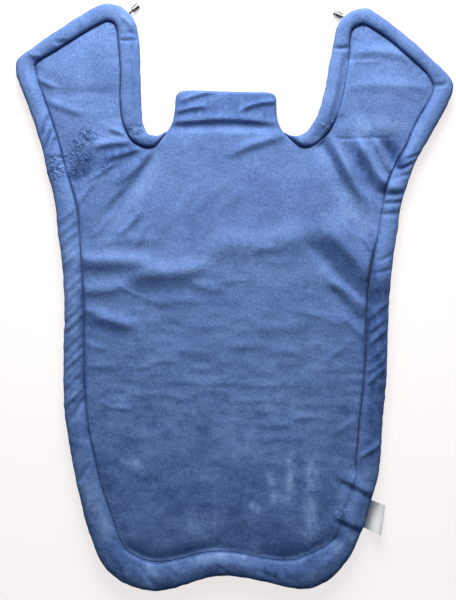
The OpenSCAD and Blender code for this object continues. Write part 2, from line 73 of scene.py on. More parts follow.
LEFT_WING_OUTSIDE = [
    (22, 56.5, 39.5, 61.5), (17.5, 61.5, 37, 63.5), (16.3, 67, 35.5, 66), (17, 75, 35.8, 70),
    (20, 85, 38, 79), (25, 97, 43, 93), (31, 113, 49, 110), (38, 134, 56, 131),
    (44, 154, 62, 152), (48, 174, 67, 171), (52, 188, 71, 186),
]
LEFT_SIDE = [
    (55.5, 204, 75.5, 202), (58, 230, 79.5, 229), (62, 258, 81, 258), (64, 286, 83, 286),
    (65, 316, 84, 316), (64, 350, 84, 350), (64, 384, 84.5, 384), (65, 412, 86.5, 410),
    (69, 440, 90, 437), (74, 468, 96, 463), (80, 496, 103, 490),
]
LEFT_LOBE = [
    (87, 524, 112, 516), (92, 538, 117.5, 532), (97, 552, 121, 541), (104, 565, 126, 548.5),
    (112, 573.5, 131, 553), (120, 580, 136.5, 556), (135, 586.5, 144, 559.5), (150, 590, 153, 561.5),
    (170, 588.5, 168, 560.8), (185, 584, 182, 558), (200, 579, 198, 553.5), (212, 576, 211, 551.3),
]
RIGHT_LOBE = [
    (224, 575, 225, 551), (245, 577, 243, 553), (257, 579.5, 255, 556), (270, 582, 267, 558),
    (290, 587, 284, 560), (303, 588.5, 294, 559.5), (312, 587, 301, 557), (320, 584, 307, 554.5),
    (330, 578.5, 315, 551), (337, 572, 323, 547), (345, 562, 330, 542), (352, 551.5, 335, 536),
    (358, 538, 338, 527),
]
RIGHT_SIDE = [
    (364, 524, 341, 515), (368, 510, 345, 500), (372, 496, 350, 488), (376, 482, 355, 476),
    (379, 468, 356, 462), (380.5, 450, 357.5, 446), (381.5, 432, 359, 430), (383, 412, 361, 410),
    (385, 392, 363, 391), (386.5, 370, 365, 370), (387, 345, 366.5, 345), (388, 320, 366.5, 320),
    (389, 296, 368, 294), (391, 272, 371, 270), (394, 250, 375, 249), (397, 230, 378.5, 228),
    (400, 210, 381.5, 209),
]
RIGHT_WING_OUTSIDE = [
    (404, 194, 385.5, 192), (409, 179, 390, 177), (415, 163, 397, 161), (423, 148, 405, 147),
    (431, 134, 411.5, 131), (438, 122, 418, 118), (445, 109, 425, 106), (450, 98, 430, 97.5),
    (452.3, 89, 433, 91), (451.5, 82, 433, 86.5), (447, 75.5, 431, 82), (440, 68.5, 427, 75),
]
RIGHT_WING_TOP = [
    (430, 59, 420, 68), (415, 45, 406, 55.5), (400, 32, 392, 43), (388, 23, 380, 34.5),
    (380, 17, 372, 29.5), (373, 12, 367, 26.5), (367, 9.5, 363, 25.5), (360, 9.5, 359.5, 26),
    (354, 11, 356.5, 27), (348.5, 14, 354, 28.5), (343.5, 18, 352, 30.5), (338.5, 24, 350.5, 33.5),
    (336, 30, 349.8, 37),
]
RIGHT_WING_INSIDE = [
    (334, 40, 349, 43), (331.5, 52, 348.7, 54), (329.5, 62, 348, 64), (327, 78, 345.5, 80),
    (324.3, 92, 343, 94), (321.5, 104, 340, 107),
]
RIGHT_NOTCH = [
    (317.5, 115, 335.5, 119), (312.5, 124, 329.5, 130), (307.5, 130.5, 323, 138),
    (302.5, 134.3, 316, 143.5), (298, 135.8, 309, 147), (294, 136, 302, 147),
    (289, 135.2, 292, 140.5), (284.5, 132.5, 284.5, 133.5),
]
# Free edge of the collar, from the right end of the neck to the left one
COLLAR_EDGE = [
    (284.5, 133.5), (281, 128), (278.5, 122), (277, 115), (276.5, 105), (276, 97), (273, 93.5),
    (268, 92.3), (255, 92), (238, 91.5), (220, 91), (200, 90.3), (188, 90.2), (180, 91.5),
    (176.5, 94.5), (175.3, 100), (175, 107), (174, 114), (172.5, 121), (170, 126.5), (166, 132.5),
]
# Where the edge rolls are joined end to end, on the seam
LEFT_ROLL_JOIN = (118.8, 42)
RIGHT_ROLL_JOIN = (349, 47)
LEFT_HEM_JOIN = (109, 506)
RIGHT_HEM_JOIN = (344, 506)
# Stretches of seam that the filling nearly hides, with the height it reaches
FILLED_SEAMS = [
    (17.5 * MM, [(354, 478), (345, 500), (340, 517), (335, 534)]),
    (17 * MM, [(348.5, 68), (345, 85), (341, 102), (338, 112)]),
    (15 * MM, [(381.5, 208), (380, 218), (378.5, 228), (377, 238)]),
    (11.5 * MM, [(96, 463), (103, 490), (112, 516), (121, 541)]),
    (13 * MM, [(121, 541), (136.5, 556), (168, 561), (198, 553.5), (225, 551)]),
    (14 * MM, [(225, 551), (255, 556), (284, 560), (307, 554.5), (330, 542)]),
    (13.5 * MM, [(430, 97.5), (425, 106), (418, 118), (411.5, 131), (405, 147)]),
    (12.5 * MM, [(38, 79), (43, 93), (49, 110), (56, 131), (62, 152), (67, 171)]),
    (11 * MM, [(79.5, 229), (83, 286), (84, 316), (84.5, 384), (90, 437)]),
]

# Fold lines of the wings and the collar, as the joints of the frame have them
JOINTS = {joint["name"]: joint for joint in frame["joints"]}
FOLD_REACH = 24 * MM
FOLD_SPLIT = 26 * MM
NECK_Y = 319 * MM
NECK_HALF_WIDTH = 90 * MM

# Heights and rounding of the panels and the rolls
RIM_Z = 8.5 * MM
COLLAR_RIM_Z = 6.5 * MM
COLLAR_RIM_FADE = 15 * MM
SEAM_SHOULDER = 5 * MM
SEAM_DEPTH = 7.5 * MM
FILLED_SHOULDER = 15 * MM
FILL_FADE = 14 * MM
SHOULDER_Z = 15 * MM
COLLAR_SHOULDER_Z = 14 * MM
BACK_Z = 0.3 * MM
BACK_SHOULDER = 10 * MM
# The slow crown: its rise, the share of it that the collar lacks, how far in it reaches, and its curve
CROWN_RISE = 5 * MM
COLLAR_CROWN_LOSS = 0.8
BODY_CROWN_REACH = 75 * MM
WING_CROWN_REACH = 34 * MM
CROWN_POWER = 1.5
# Where the body turns into the wings, and the collar begins beside the neck line
WING_FOOT_Y = (180 * MM, 330 * MM)
COLLAR_FADE = (-4 * MM, 8 * MM)
# How far in from the seam the folds come to their full height
FOLD_START = 6 * MM
# The rolls: highest top, rise with the width, and how square the section is above and below
ROLL_TOP_Z = 21.5 * MM
ROLL_BASE_Z = 10 * MM
ROLL_RISE_PER_WIDTH = 0.6
ROLL_MIDDLE = 0.5
ROLL_SQUARENESS = 0.46
ROLL_UNDER_SQUARENESS = 0.5
# Widths between which a roll takes on its folds, and the share of a fold that pushes the side out
ROLL_FOLD_WIDTHS = (4 * MM, 14 * MM)
ROLL_SIDE_BULGE = 0.6
EDGE_WOBBLE = 0.8 * MM
EDGE_WOBBLE_SIZE = 9 * MM

# Mesh spacing
EDGE_STEP = 2.2 * MM
GRID_STEP = 2.2 * MM
BACK_GRID_STEP = 9 * MM
SPLIT_STEP = 3 * MM
SAMPLES_PER_STEP = 4
SEAM_ROWS = [0.4 * MM, 1.1 * MM, 2 * MM, 3.1 * MM, 4.4 * MM, 6 * MM]
BACK_ROWS = [1.1 * MM, 3.1 * MM, 6 * MM]
ROLL_TOP_SIDES = 32
ROLL_BASE_SIDES = 12
# The grid of a panel: height of a row and random shift of a point, as shares of the step
GRID_ROW_HEIGHT = 0.87
GRID_SHIFT = 0.14
GRID_SEED = 7
# Room that grid points leave along the seam rows and the splits, as shares of the step, and the share
# of its depth that a seam row keeps from every part of the seam
SEAM_ROOM = 0.6
SPLIT_ROOM = 0.5
ROW_ROOM = 0.93
KEEP_INSIDE = 1
# Distances that count as none
MERGE_DISTANCE = 1e-7
ON_SEAM = 1e-6
PLACE_DIGITS = 6
TINY = 1e-12

# Soft strokes: spacing of their points, the reaches out at which they end, and the share of their
# length over which each end fades
STROKE_STEP = 3 * MM
STROKE_CUTOFF = 2.5
STROKE_FADE = 0.3


# Plane curves

def on_apron(pixels):
    """Points of the photograph as points of the frame, in metres."""
    return (np.asarray(pixels, float) - ORIGIN_PIXEL) * (PIXEL, -PIXEL)


def smooth_line(points, step):
    """An even run along a smooth curve through the given rows, each of one or several points."""
    points = np.asarray(points, float)
    legs = np.linalg.norm(np.diff(points, axis=0), axis=1)
    along = np.concatenate([[0], np.cumsum(legs)])
    slope = np.gradient(points, along, axis=0)
    fine = np.linspace(0, along[-1], int(along[-1] / step * SAMPLES_PER_STEP))
    leg = np.clip(np.searchsorted(along, fine) - 1, 0, len(legs) - 1)
    t = ((fine - along[leg]) / legs[leg])[:, None]
    span = legs[leg][:, None]
    curve = (
        (1 + 2 * t) * (1 - t) ** 2 * points[leg]
        + t * (1 - t) ** 2 * span * slope[leg]
        + t * t * (3 - 2 * t) * points[leg + 1]
        - t * t * (1 - t) * span * slope[leg + 1]
    )
    length = np.concatenate([[0], np.cumsum(np.linalg.norm(np.diff(curve, axis=0), axis=1))])
    even = np.linspace(0, length[-1], int(round(length[-1] / step)) + 1)
    return np.stack([np.interp(even, length, column) for column in curve.T], axis=1)


def edge_lines():
    """The roll's outline and seam, station by station, and the collar's free edge."""
    stations = (
        LEFT_NOTCH + LEFT_WING_INSIDE + LEFT_WING_TOP + LEFT_WING_OUTSIDE + LEFT_SIDE + LEFT_LOBE
        + RIGHT_LOBE + RIGHT_SIDE + RIGHT_WING_OUTSIDE + RIGHT_WING_TOP + RIGHT_WING_INSIDE + RIGHT_NOTCH
    )
    pairs = np.hstack([on_apron([s[:2] for s in stations]), on_apron([s[2:] for s in stations])])
    pairs = smooth_line(pairs, EDGE_STEP * math.sqrt(2))
    return pairs[:, :2], pairs[:, 2:], smooth_line(on_apron(COLLAR_EDGE), EDGE_STEP)


def smoothstep(x, low, high):
    """0 below low, 1 above high, and a soft step between."""
    t = np.clip((x - low) / (high - low), 0, 1)
    return t * t * (3 - 2 * t)


def quarter_round(distance, radius):
    """0 at the edge, 1 from a radius inwards, along a quarter of a circle."""
    return np.sqrt(1 - (1 - np.clip(distance / radius, 0, 1)) ** 2)


def nearest(points, targets):
    """For each point, the number of the nearest target and its distance."""
    tree = kdtree.KDTree(len(targets))
    for i, (x, y) in enumerate(targets):
        tree.insert((x, y, 0), i)
    tree.balance()
    found = [tree.find((x, y, 0)) for x, y in points]
    return np.array([f[1] for f in found]), np.array([f[2] for f in found])


def distance_to_line(points, line):
    """Distance to a run of points, the share of its length there, and the side: 1 on the left."""
    starts, runs = line[:-1], np.diff(line, axis=0)
    lengths = np.linalg.norm(runs, axis=1)
    before = np.concatenate([[0], np.cumsum(lengths)])
    rel = points[:, None] - starts[None]
    share = np.clip((rel * runs).sum(2) / lengths ** 2, 0, 1)
    gap = np.linalg.norm(rel - share[..., None] * runs, axis=2)
    leg = gap.argmin(axis=1)
    row = np.arange(len(points))
    rel, share = rel[row, leg], share[row, leg]
    side = np.sign(runs[leg, 0] * rel[:, 1] - runs[leg, 1] * rel[:, 0])
    return gap[row, leg], (before[leg] + share * lengths[leg]) / before[-1], side


def add_strokes(points, strokes):
    """Sum of soft strokes: height, reach to the left and to the right in mm, and line in pixels."""
    total = np.zeros(len(points))
    for rise, left, right, pixels in strokes:
        line = smooth_line(on_apron(pixels), STROKE_STEP)
        reach = STROKE_CUTOFF * max(left, right) * MM
        near = ((points > line.min(0) - reach) & (points < line.max(0) + reach)).all(axis=1)
        if near.any():
            gap, share, side = distance_to_line(points[near], line)
            width = np.where(side > 0, left, right) * MM
            fade = smoothstep(np.minimum(share, 1 - share), 0, STROKE_FADE)
            total[near] += rise * np.exp(-(gap / width) ** 2) * fade
    return total


OUTLINE, SEAM, COLLAR_LINE = edge_lines()


# Relief of the cloth: folds drawn one by one, and the unevenness of the filling

# Folds: height and reach to the left and to the right in mm, and the line in pixels
FOLDS = [
    # Folds that spread from the left notch, and the trough beside the chest
    (3.0, 4, 4, [(106, 128), (120, 133), (136, 141)]),
    (4.5, 6, 5, [(90, 150), (105, 145.5), (118, 143.5), (138, 142.5)]),
    (4.2, 5, 4.5, [(102, 163), (116, 157), (130, 152.5), (149, 146)]),
    (3.8, 7, 5, [(114, 188), (126, 178), (135, 170), (144, 160), (156, 144)]),
    (-3.8, 6, 20, [(97, 226), (114, 206), (132, 188), (147, 167), (161, 138)]),
    (1.8, 4, 3, [(84, 184), (98, 176), (112, 167), (124, 160)]),
    (2.2, 4, 4, [(76, 208), (87, 193), (99, 178)]),
    (1.2, 4, 5, [(90, 240), (104, 226), (116, 212)]),
    (2.6, 4, 5, [(114, 240), (132, 223), (144, 206)]),
    (1.8, 4, 5, [(134, 252), (142, 236), (150, 219)]),
    # Folds that spread from the right notch, and the trough beside the chest
    (-6.0, 7, 14, [(311, 118), (326, 152), (338, 177), (350, 202)]),
    (-3.0, 15, 22, [(332, 176), (350, 204), (378, 230)]),
    (6.0, 4, 5.5, [(328, 130), (341, 161), (350, 179), (362, 204)]),
    (8.5, 6, 8, [(353, 131), (369, 162), (379, 178), (388, 187), (406, 189)]),
    (-5.0, 11, 5, [(340, 134), (352, 161), (361, 182), (376, 207)]),
    (3.6, 4, 4, [(371, 136), (379, 152), (384, 163), (390, 174)]),
    (-5.5, 12, 4, [(379, 136), (386, 150), (391, 162), (398, 182)]),
    (-1.3, 1.8, 1.8, [(320, 139), (360, 139.5), (398, 138)]),
    # The right wing
    (3.6, 8, 8, [(340, 56), (360, 53.5), (380, 53), (400, 57), (418, 66)]),
    (1.0, 3, 3, [(346, 64), (362, 63.5), (382, 64)]),
    (2.4, 8, 8, [(336, 89), (370, 86.5), (400, 87), (436, 90)]),
    (1.0, 5, 5, [(393, 91), (407, 96), (424, 103)]),
    (1.6, 13, 8, [(332, 126), (360, 130), (385, 128), (412, 124)]),
    # The left wing
    (2.4, 6, 5, [(40, 99), (60, 106.5), (74, 112), (90, 115)]),
    (2.2, 4, 4, [(34, 78), (47, 84), (60, 90)]),
    (-1.2, 6, 6, [(50, 97), (85, 94), (116, 95)]),
    (-0.9, 3, 3, [(132, 42), (132.5, 80), (133, 118)]),
    # Big folds across the body, below the chest
    (1.5, 8, 8, [(90, 252), (110, 243), (126, 240), (146, 239), (166, 242)]),
    (6.0, 11, 13, [(62, 259), (96, 261), (120, 261), (142, 263), (172, 271)]),
    (6.2, 12, 13, [(120, 282), (148, 275), (170, 273), (192, 270), (220, 260)]),
    (3.4, 10, 9, [(72, 294), (95, 291), (113, 289), (134, 285)]),
    (0.8, 3, 3, [(114, 277), (127, 290), (140, 296), (156, 300)]),
    (4.2, 9, 10, [(74, 303), (95, 313.5), (110, 319.5), (125, 323.5), (146, 325)]),
    (1.8, 7, 7, [(136, 299), (162, 302), (184, 300), (208, 305)]),
    (2.2, 8, 8, [(186, 281), (205, 287), (226, 292)]),
    (4.6, 17, 18, [(190, 256), (225, 247), (262, 244), (296, 238), (330, 236)]),
    (0.8, 5, 6, [(251, 248), (268, 248.5), (286, 251)]),
    (0.9, 5, 6, [(264, 261), (280, 262), (296, 260)]),
    (7.0, 20, 12, [(312, 216), (332, 235), (345, 248), (357, 261), (369, 275), (390, 301)]),
    (-5.5, 12, 9, [(296, 232), (318, 254), (331, 268), (343, 281), (355, 294), (376, 317)]),
    (-3.0, 6, 16, [(320, 281), (338, 298), (352, 312), (370, 331)]),
    (4.4, 5, 6, [(326, 277), (345, 290.5), (356, 299.5), (372, 315)]),
    (1.8, 5, 5, [(338, 312), (354, 328), (369, 342)]),
    (1.4, 3, 4, [(336, 218), (349, 231), (357, 244)]),
    (2.2, 3, 3, [(358, 233), (366, 244), (375, 257)]),
    # Faint slanting folds on the chest
    (0.9, 7, 7, [(158, 240), (178, 212), (206, 178)]),
    (0.8, 7, 7, [(182, 226), (210, 196), (242, 176)]),
    (0.7, 6, 7, [(206, 232), (226, 204), (250, 184)]),
    # Ripples on the lower body
    (0.7, 4, 4, [(172, 351), (193, 351), (214, 353)]),
    (0.6, 4, 4, [(218, 284), (234, 281), (250, 279)]),
    (1.2, 7, 6, [(284, 309), (312, 314), (330, 321), (350, 330)]),
    (1.3, 6, 9, [(242, 320), (266, 325), (288, 325.5), (312, 320)]),
    (1.1, 7, 6, [(212, 349), (250, 346), (280, 349), (314, 359)]),
    (0.9, 5, 5, [(318, 365), (338, 351), (358, 334)]),
    (1.3, 5, 6, [(74, 340), (92, 345), (112, 348)]),
    (1.0, 5, 5, [(74, 362), (96, 366), (122, 366)]),
    (0.8, 6, 5, [(132, 370), (154, 363), (174, 357)]),
    (0.8, 6, 5, [(126, 393), (155, 395), (186, 394)]),
    (0.8, 6, 5, [(155, 376), (195, 382), (225, 383), (260, 384), (314, 383)]),
    (0.5, 4.5, 4.5, [(206, 397), (246, 399), (290, 400)]),
    (1.0, 4, 4, [(94, 400), (115, 406.5), (138, 408)]),
    (0.7, 4, 4, [(252, 424.5), (275, 425), (298, 424)]),
    (0.7, 4, 4.5, [(290, 419), (308, 417), (326, 418)]),
    (0.9, 5, 5, [(328, 438), (346, 425), (364, 411)]),
    (0.5, 5, 5, [(222, 436), (262, 438), (312, 437)]),
    # The body falls to the hem
    (-4.5, 15, 3, [
        (104, 528), (126, 549), (153, 562), (182, 558), (212, 551), (243, 553), (266, 558),
    ]),
    (-4.5, 15, 3, [(244, 553), (267, 558), (290, 560), (310, 553), (330, 542), (345, 528)]),
    # The lump beside the label
    (2.6, 10, 4.5, [(334, 474), (348, 480), (360, 486), (384, 500)]),
    (-1.8, 3.5, 7, [(334, 479), (352, 488), (382, 505)]),
    (2.8, 13, 4.5, [(330, 513), (350, 521), (376, 531)]),
    (-1.8, 3.5, 6, [(330, 518), (348, 526.5), (372, 536)]),
    # The collar: the ridge, the fall to the neck and wrinkles
    (2.8, 6, 3.4, [(152, 123.5), (195, 121), (218, 119.5), (240, 120), (259, 121.5), (290, 125)]),
    (-2.8, 3.4, 9, [(150, 128.5), (195, 126.5), (218, 125), (240, 125.5), (259, 127), (290, 132)]),
    (2.8, 3, 3, [(177, 103), (198, 95.5), (213, 91.5), (227, 89.5)]),
    (3.4, 3.5, 3.2, [(168, 115), (188, 109.5), (212, 106)]),
    (3.6, 3.2, 3.2, [(234, 116), (250, 106.5), (262, 103.5), (286, 102)]),
    (1.7, 2, 2.5, [(247, 89.5), (264, 93), (282, 97)]),
    (3.8, 7, 6.5, [(222, 159), (250, 146.5), (268, 140.5), (293, 133)]),
    # Creases across the edge rolls, and the seams where two rolls join
    (-2.6, 1.8, 1.8, [(114, 41.5), (128, 42.5), (144, 40)]),
    (-1.8, 2.2, 2.2, [(126, 33), (134, 35.5), (142, 34.5)]),
    (-3.4, 3, 2, [(326, 48.5), (340, 50.5), (354, 48)]),
    (-1.6, 2.2, 2.2, [(400, 161), (409, 159), (420, 154)]),
    (-3.2, 2.4, 2.4, [(387, 165), (399, 169.5), (416, 162)]),
    (-1.8, 2.2, 2.2, [(388, 180), (398, 178), (413, 174)]),
    (-3.0, 4.5, 3, [(374, 192), (390, 195.5), (410, 193)]),
    (-2.6, 2.6, 2.6, [(378, 203.5), (391, 204), (407, 202)]),
    (-2.2, 3, 4, [(378, 214), (389, 214.5), (404, 213)]),
    (-1.6, 3, 3, [(372, 262), (381, 260), (394, 254)]),
    (-1.8, 3, 3, [(368, 275), (378, 273), (393, 268)]),
    (-3.2, 2.6, 2.6, [(41, 143), (45, 130), (51, 112)]),
    (-3.2, 2.6, 2.6, [(45, 155), (49, 142), (54, 127)]),
    (-2.4, 2.6, 2.6, [(51, 157), (54, 147), (57, 136)]),
    (-1.2, 2, 2, [(42, 160.5), (57, 158.5), (74, 159.5)]),
    (-1.6, 2.4, 2.4, [(132, 130), (140, 128), (146, 128)]),
    (-1.6, 2.2, 2.2, [(135, 138), (141, 135), (146, 134)]),
    (1.8, 4, 3, [(120, 17), (126, 22), (136, 33)]),
    (1.8, 4, 3, [(28, 52), (36, 58), (44, 57)]),
    (-2.0, 3, 3, [(428, 85), (437, 87), (448, 85)]),
    (-1.2, 1.6, 1.6, [
        (349, 43), (348, 64), (345.5, 80), (343, 94), (340, 107), (335.5, 119), (329.5, 130),
    ]),
    (-2.2, 3, 3, [(55, 42), (61, 45), (68, 42)]),
    (-2.4, 4, 4, [(70, 424), (79, 408), (88, 394)]),
    (-1.8, 3.5, 3.5, [(79, 484), (85, 473), (92, 460)]),
    (2.8, 4, 4, [(354, 459), (368, 450), (384, 439)]),
    (-1.3, 4, 4, [(130, 557), (145, 572), (160, 592)]),
    (-0.9, 3, 3, [(158, 561), (170, 569), (182, 580)]),
    (-0.8, 3, 3, [(208, 557), (221, 567), (236, 580)]),
    (-0.9, 4, 4, [(238, 560), (262, 570), (290, 585)]),
    (1.6, 5, 5, [(112, 548), (122, 562), (128, 582)]),
]
# Slanting wrinkles of the side rolls: first and last height, spacing, start and end across the roll,
# rise over that width, all in pixels, and height in mm
SIDE_WRINKLES = [
    (284, 400, 9.3, 62, 88, 27, 2.5),
    (214, 278, 12, 57, 84, 26, 1.1),
    (312, 384, 12.5, 364, 389, 22, 1.8),
]
WRINKLE_REACH = 3.4
# Chance in them: shift up or down in pixels, shares of the height, and the seed
WRINKLE_SHIFT = 2
WRINKLE_HEIGHTS = (0.3, 1.3)
WRINKLE_SEED = 3
# Patches of crinkled pile: middle and half sizes in pixels, and strength
CRINKLES = [
    (78, 146, 8, 7, 1.0),
    (89, 136, 9, 7, 1.0),
    (58, 160, 15, 5, 0.9),
    (80, 160, 13, 7, 1.0),
    (56, 171, 10, 11, 1.0),
    (78, 173, 13, 8, 0.7),
    (107, 168, 6, 4, 0.6),
    (340, 513, 7, 6, 0.6),
    (328, 126, 9, 6, 0.5),
    (134, 130, 10, 8, 0.4),
]
# Swells of the filling: size along x and along y, and height
SWELLS = [
    (46 * MM, 46 * MM, 1.2 * MM),
    (13 * MM, 11 * MM, 0.3 * MM),
    (5 * MM, 5 * MM, 0.14 * MM),
]
# Ripples across the lower body: size along x and along y, height, and where they fade in and out
RIPPLE_SIZE = (30 * MM, 10 * MM)
RIPPLE_HEIGHT = 0.7 * MM
RIPPLE_LOW = (-135 * MM, -60 * MM)
RIPPLE_HIGH = (70 * MM, 130 * MM)
# Crinkled pile: size, height, and how sharp its ridges are
CRINKLE_SIZE = 4.6 * MM
CRINKLE_HEIGHT = 1.6 * MM
CRINKLE_SHARPNESS = 2.5
# Gathers along the seam: length, height and reach on the panels, and height and fade on the rolls
PUCKER_LENGTH = 9 * MM
PUCKER_HEIGHT = 1.3 * MM
PUCKER_START = 5 * MM
PUCKER_REACH = 11 * MM
ROLL_PUCKER_HEIGHT = 1.95 * MM
ROLL_PUCKER_FADE = 4
# Each kind of unevenness takes its own layer of the noise
SWELL_LAYER = 0.37
CRINKLE_LAYER = 5.37
RIPPLE_LAYER = 7.37
PUCKER_LAYER = 9.37
WOBBLE_LAYER = 11.37
FEATHER_LAYER = 13.37
MOTTLE_LAYER = 15.37

# Feathering of the brushed pile and of the painted shade and highlights: how strong, and its size along x and
# along y
FEATHERING = 0.9
FEATHER_SIZE = (6 * MM, 13 * MM)
# Mottled pile on the lower body: size along x and along y, strength, and where it begins and is full
MOTTLES = [
    (26 * MM, 13 * MM, 0.45),
    (9 * MM, 6 * MM, 0.35),
]
MOTTLE_FADE = (60 * MM, -60 * MM)
# The dark line along the seam, partly darker stitches and partly painted shade of the groove: its shade and its
# reach, and the lump that hides it, by its middle in pixels and the radii between which the line comes back
STITCH_AND_GROOVE_SHADE = -0.9
SEAM_LINE_REACH = 1.2 * MM
LUMP_MIDDLE = (344, 506)
LUMP_RADII = (24 * MM, 40 * MM)
# Pile brushed lighter or darker, with painted highlights and painted shade among the strokes: shade, reach to the
# left and to the right in mm, and line in pixels
BRUSHED_AND_PAINTED_LIGHT = [
    (0.9, 8, 8, [(286, 448), (289, 474), (288, 510)]),
    (0.9, 9, 9, [(311, 442), (311, 496), (311, 552)]),
    (0.7, 6, 6, [(266, 462), (272, 482), (277, 506)]),
    (1.0, 6, 6, [(247, 499), (255, 506), (263, 513)]),
    (0.3, 5, 5, [(303, 494), (305, 520), (305, 546)]),
    (0.65, 9, 9, [(118, 452), (131, 460), (145, 467)]),
    (0.6, 13, 13, [(174, 530), (204, 520), (234, 510)]),
    (0.45, 9, 9, [(86, 466), (92, 495), (104, 522), (118, 546)]),
    # Painted highlight on the lit side of a fold
    (0.4, 8, 8, [(344, 455), (350, 468), (356, 482)]),
    (0.35, 10, 10, [(94, 240), (120, 218), (138, 196), (152, 168), (166, 130)]),
    (0.3, 11, 11, [(312, 126), (328, 168), (340, 196), (356, 220), (378, 248)]),
    (0.25, 22, 16, [(334, 196), (360, 220), (392, 240)]),
    # Painted highlight along a ridge beside the right notch
    (0.4, 3.5, 3, [(332, 138), (344, 160), (353, 178), (366, 202)]),
    (0.22, 34, 34, [(30, 268), (140, 266), (230, 262), (320, 266), (430, 270)]),
    (0.4, 12, 12, [(340, 120), (384, 128), (424, 124)]),
    (0.3, 10, 10, [(66, 220), (73, 280), (75, 350)]),
    # Painted highlight along the top of the hem roll
    (0.7, 3, 6, [(180, 563), (200, 557.5), (221, 554), (264, 557.5)]),
    (0.5, 7, 7, [(142, 558), (155, 569), (170, 581)]),
    (0.5, 6, 6, [(326, 546), (343, 541), (358, 532)]),
    # Painted shade: folds, hollows, creases and seams darkened where shade falls, the collar darkened, and darker
    # brushed pile
    # Painted shade on the collar
    (-0.5, 22, 26, [(140, 108), (200, 107), (250, 107), (310, 108)]),
    (-0.35, 14, 14, [(100, 448), (111, 474), (120, 500)]),
    (-0.3, 12, 12, [(230, 460), (248, 484), (266, 506)]),
    (-0.5, 8, 8, [(338, 404), (345, 410), (352, 416)]),
    (-0.45, 11, 11, [(68, 190), (82, 168), (94, 142)]),
    (-0.5, 12, 10, [(50, 186), (95, 165), (130, 152), (172, 142)]),
    (-0.6, 15, 15, [(306, 224), (332, 250), (350, 270), (382, 304)]),
    (-0.35, 9, 9, [(66, 268), (106, 268), (156, 272)]),
    (-0.25, 30, 30, [(110, 480), (180, 496), (270, 528), (330, 540)]),
    (-0.35, 15, 15, [(108, 283), (150, 290), (190, 291), (240, 298)]),
    (-0.4, 12, 12, [(78, 320), (105, 328), (134, 334)]),
    (-0.22, 18, 18, [(244, 266), (285, 260), (312, 254), (340, 256)]),
    (-0.2, 8, 6, [(98, 530), (140, 575), (175, 575), (226, 568), (290, 574), (356, 530)]),
    (-0.5, 10, 10, [(246, 563), (276, 570), (312, 574)]),
    (-0.4, 9, 9, [(106, 536), (124, 556), (150, 578)]),
    (-0.75, 7, 7, [(348, 136), (364, 166), (374, 182), (390, 200)]),
    (-0.45, 5, 5, [(316, 126), (331, 155), (346, 184)]),
    (-0.35, 5, 5, [(346, 164), (358, 188), (370, 212)]),
    (-0.45, 4, 5, [(104, 194), (122, 177), (137, 163), (154, 145)]),
    # Dark lines along the wings' outer seams: darker stitches and painted shade of the groove
    (-1.5, 1.4, 1.4, [(433, 86), (430, 97.5), (418, 118), (411.5, 131), (405, 147), (391, 174)]),
    (-1.3, 1.4, 1.4, [(36, 66), (38, 79), (43, 93), (49, 110), (56, 131), (62, 152), (70, 184)]),
    # Painted shade in the slanting creases of the left wing's outer roll
    (-0.7, 2.6, 2.6, [(38, 146), (45, 130), (52, 110)]),
    (-0.7, 2.6, 2.6, [(43, 158), (49, 142), (55, 125)]),
    (-0.6, 2.6, 2.6, [(50, 160), (54, 147), (58, 133)]),
    (-0.4, 5, 5, [(98, 163), (120, 153.5), (146, 145)]),
    # Painted shade in the hollow beside the right notch
    (-1.2, 9, 7, [(384, 136), (395, 155), (405, 178)]),
    (-0.3, 9, 9, [(132, 16), (133, 75), (133, 134)]),
    (-0.45, 14, 14, [(316, 500), (330, 524), (344, 548)]),
    # Painted shade along the side seams
    (-0.7, 5, 5, [(82, 240), (83, 300), (84, 350), (85, 400), (92, 458)]),
    (-0.8, 6, 6, [(377, 236), (371, 268), (368, 300), (366, 340), (364, 380)]),
    # Painted shade on the right side roll, which leans away from the light
    (-0.8, 12, 18, [(390, 236), (384, 270), (380, 330), (376, 400), (370, 480)]),
]


def side_wrinkles():
    """Ridges that slant across the side rolls, no two alike."""
    chance = np.random.default_rng(WRINKLE_SEED)
    for first, last, spacing, x0, x1, rise, full_height in SIDE_WRINKLES:
        for y in np.arange(first, last, spacing):
            y = y + chance.uniform(-WRINKLE_SHIFT, WRINKLE_SHIFT)
            height = full_height * chance.uniform(*WRINKLE_HEIGHTS)
            middle = ((x0 + x1) / 2, y + chance.uniform(-WRINKLE_SHIFT, WRINKLE_SHIFT))
            yield height, WRINKLE_REACH, WRINKLE_REACH, [(x0, y + rise / 2), middle, (x1, y - rise / 2)]


def noise_at(points, sizes, layer):
    """Smooth noise from -1 to 1 over the plane."""
    places = points / sizes
    return np.array([noise.noise((x, y, layer)) for x, y in places])


def relief(points):
    """Height of the folds, of the swells of the filling and of the crinkled patches."""
    height = add_strokes(points, FOLDS + list(side_wrinkles())) * MM
    for number, (size_x, size_y, rise) in enumerate(SWELLS):
        height += rise * noise_at(points, (size_x, size_y), SWELL_LAYER + number)
    y = points[:, 1]
    rippled = smoothstep(y, *RIPPLE_LOW) * (1 - smoothstep(y, *RIPPLE_HIGH))
    height += RIPPLE_HEIGHT * rippled * noise_at(points, RIPPLE_SIZE, RIPPLE_LAYER)
    crinkle = 1 - CRINKLE_SHARPNESS * np.abs(noise_at(points, CRINKLE_SIZE, CRINKLE_LAYER))
    return height + CRINKLE_HEIGHT * crinkle * crinkled(points)


def crinkled(points):
    """How far the pile is crinkled, from 0 to 1."""
    total = np.zeros(len(points))
    for x, y, half_x, half_y, strength in CRINKLES:
        away = (points - on_apron((x, y))) / (half_x * PIXEL, half_y * PIXEL)
        total = np.maximum(total, strength * np.exp(-((away ** 2).sum(1)) ** 2))
    return total


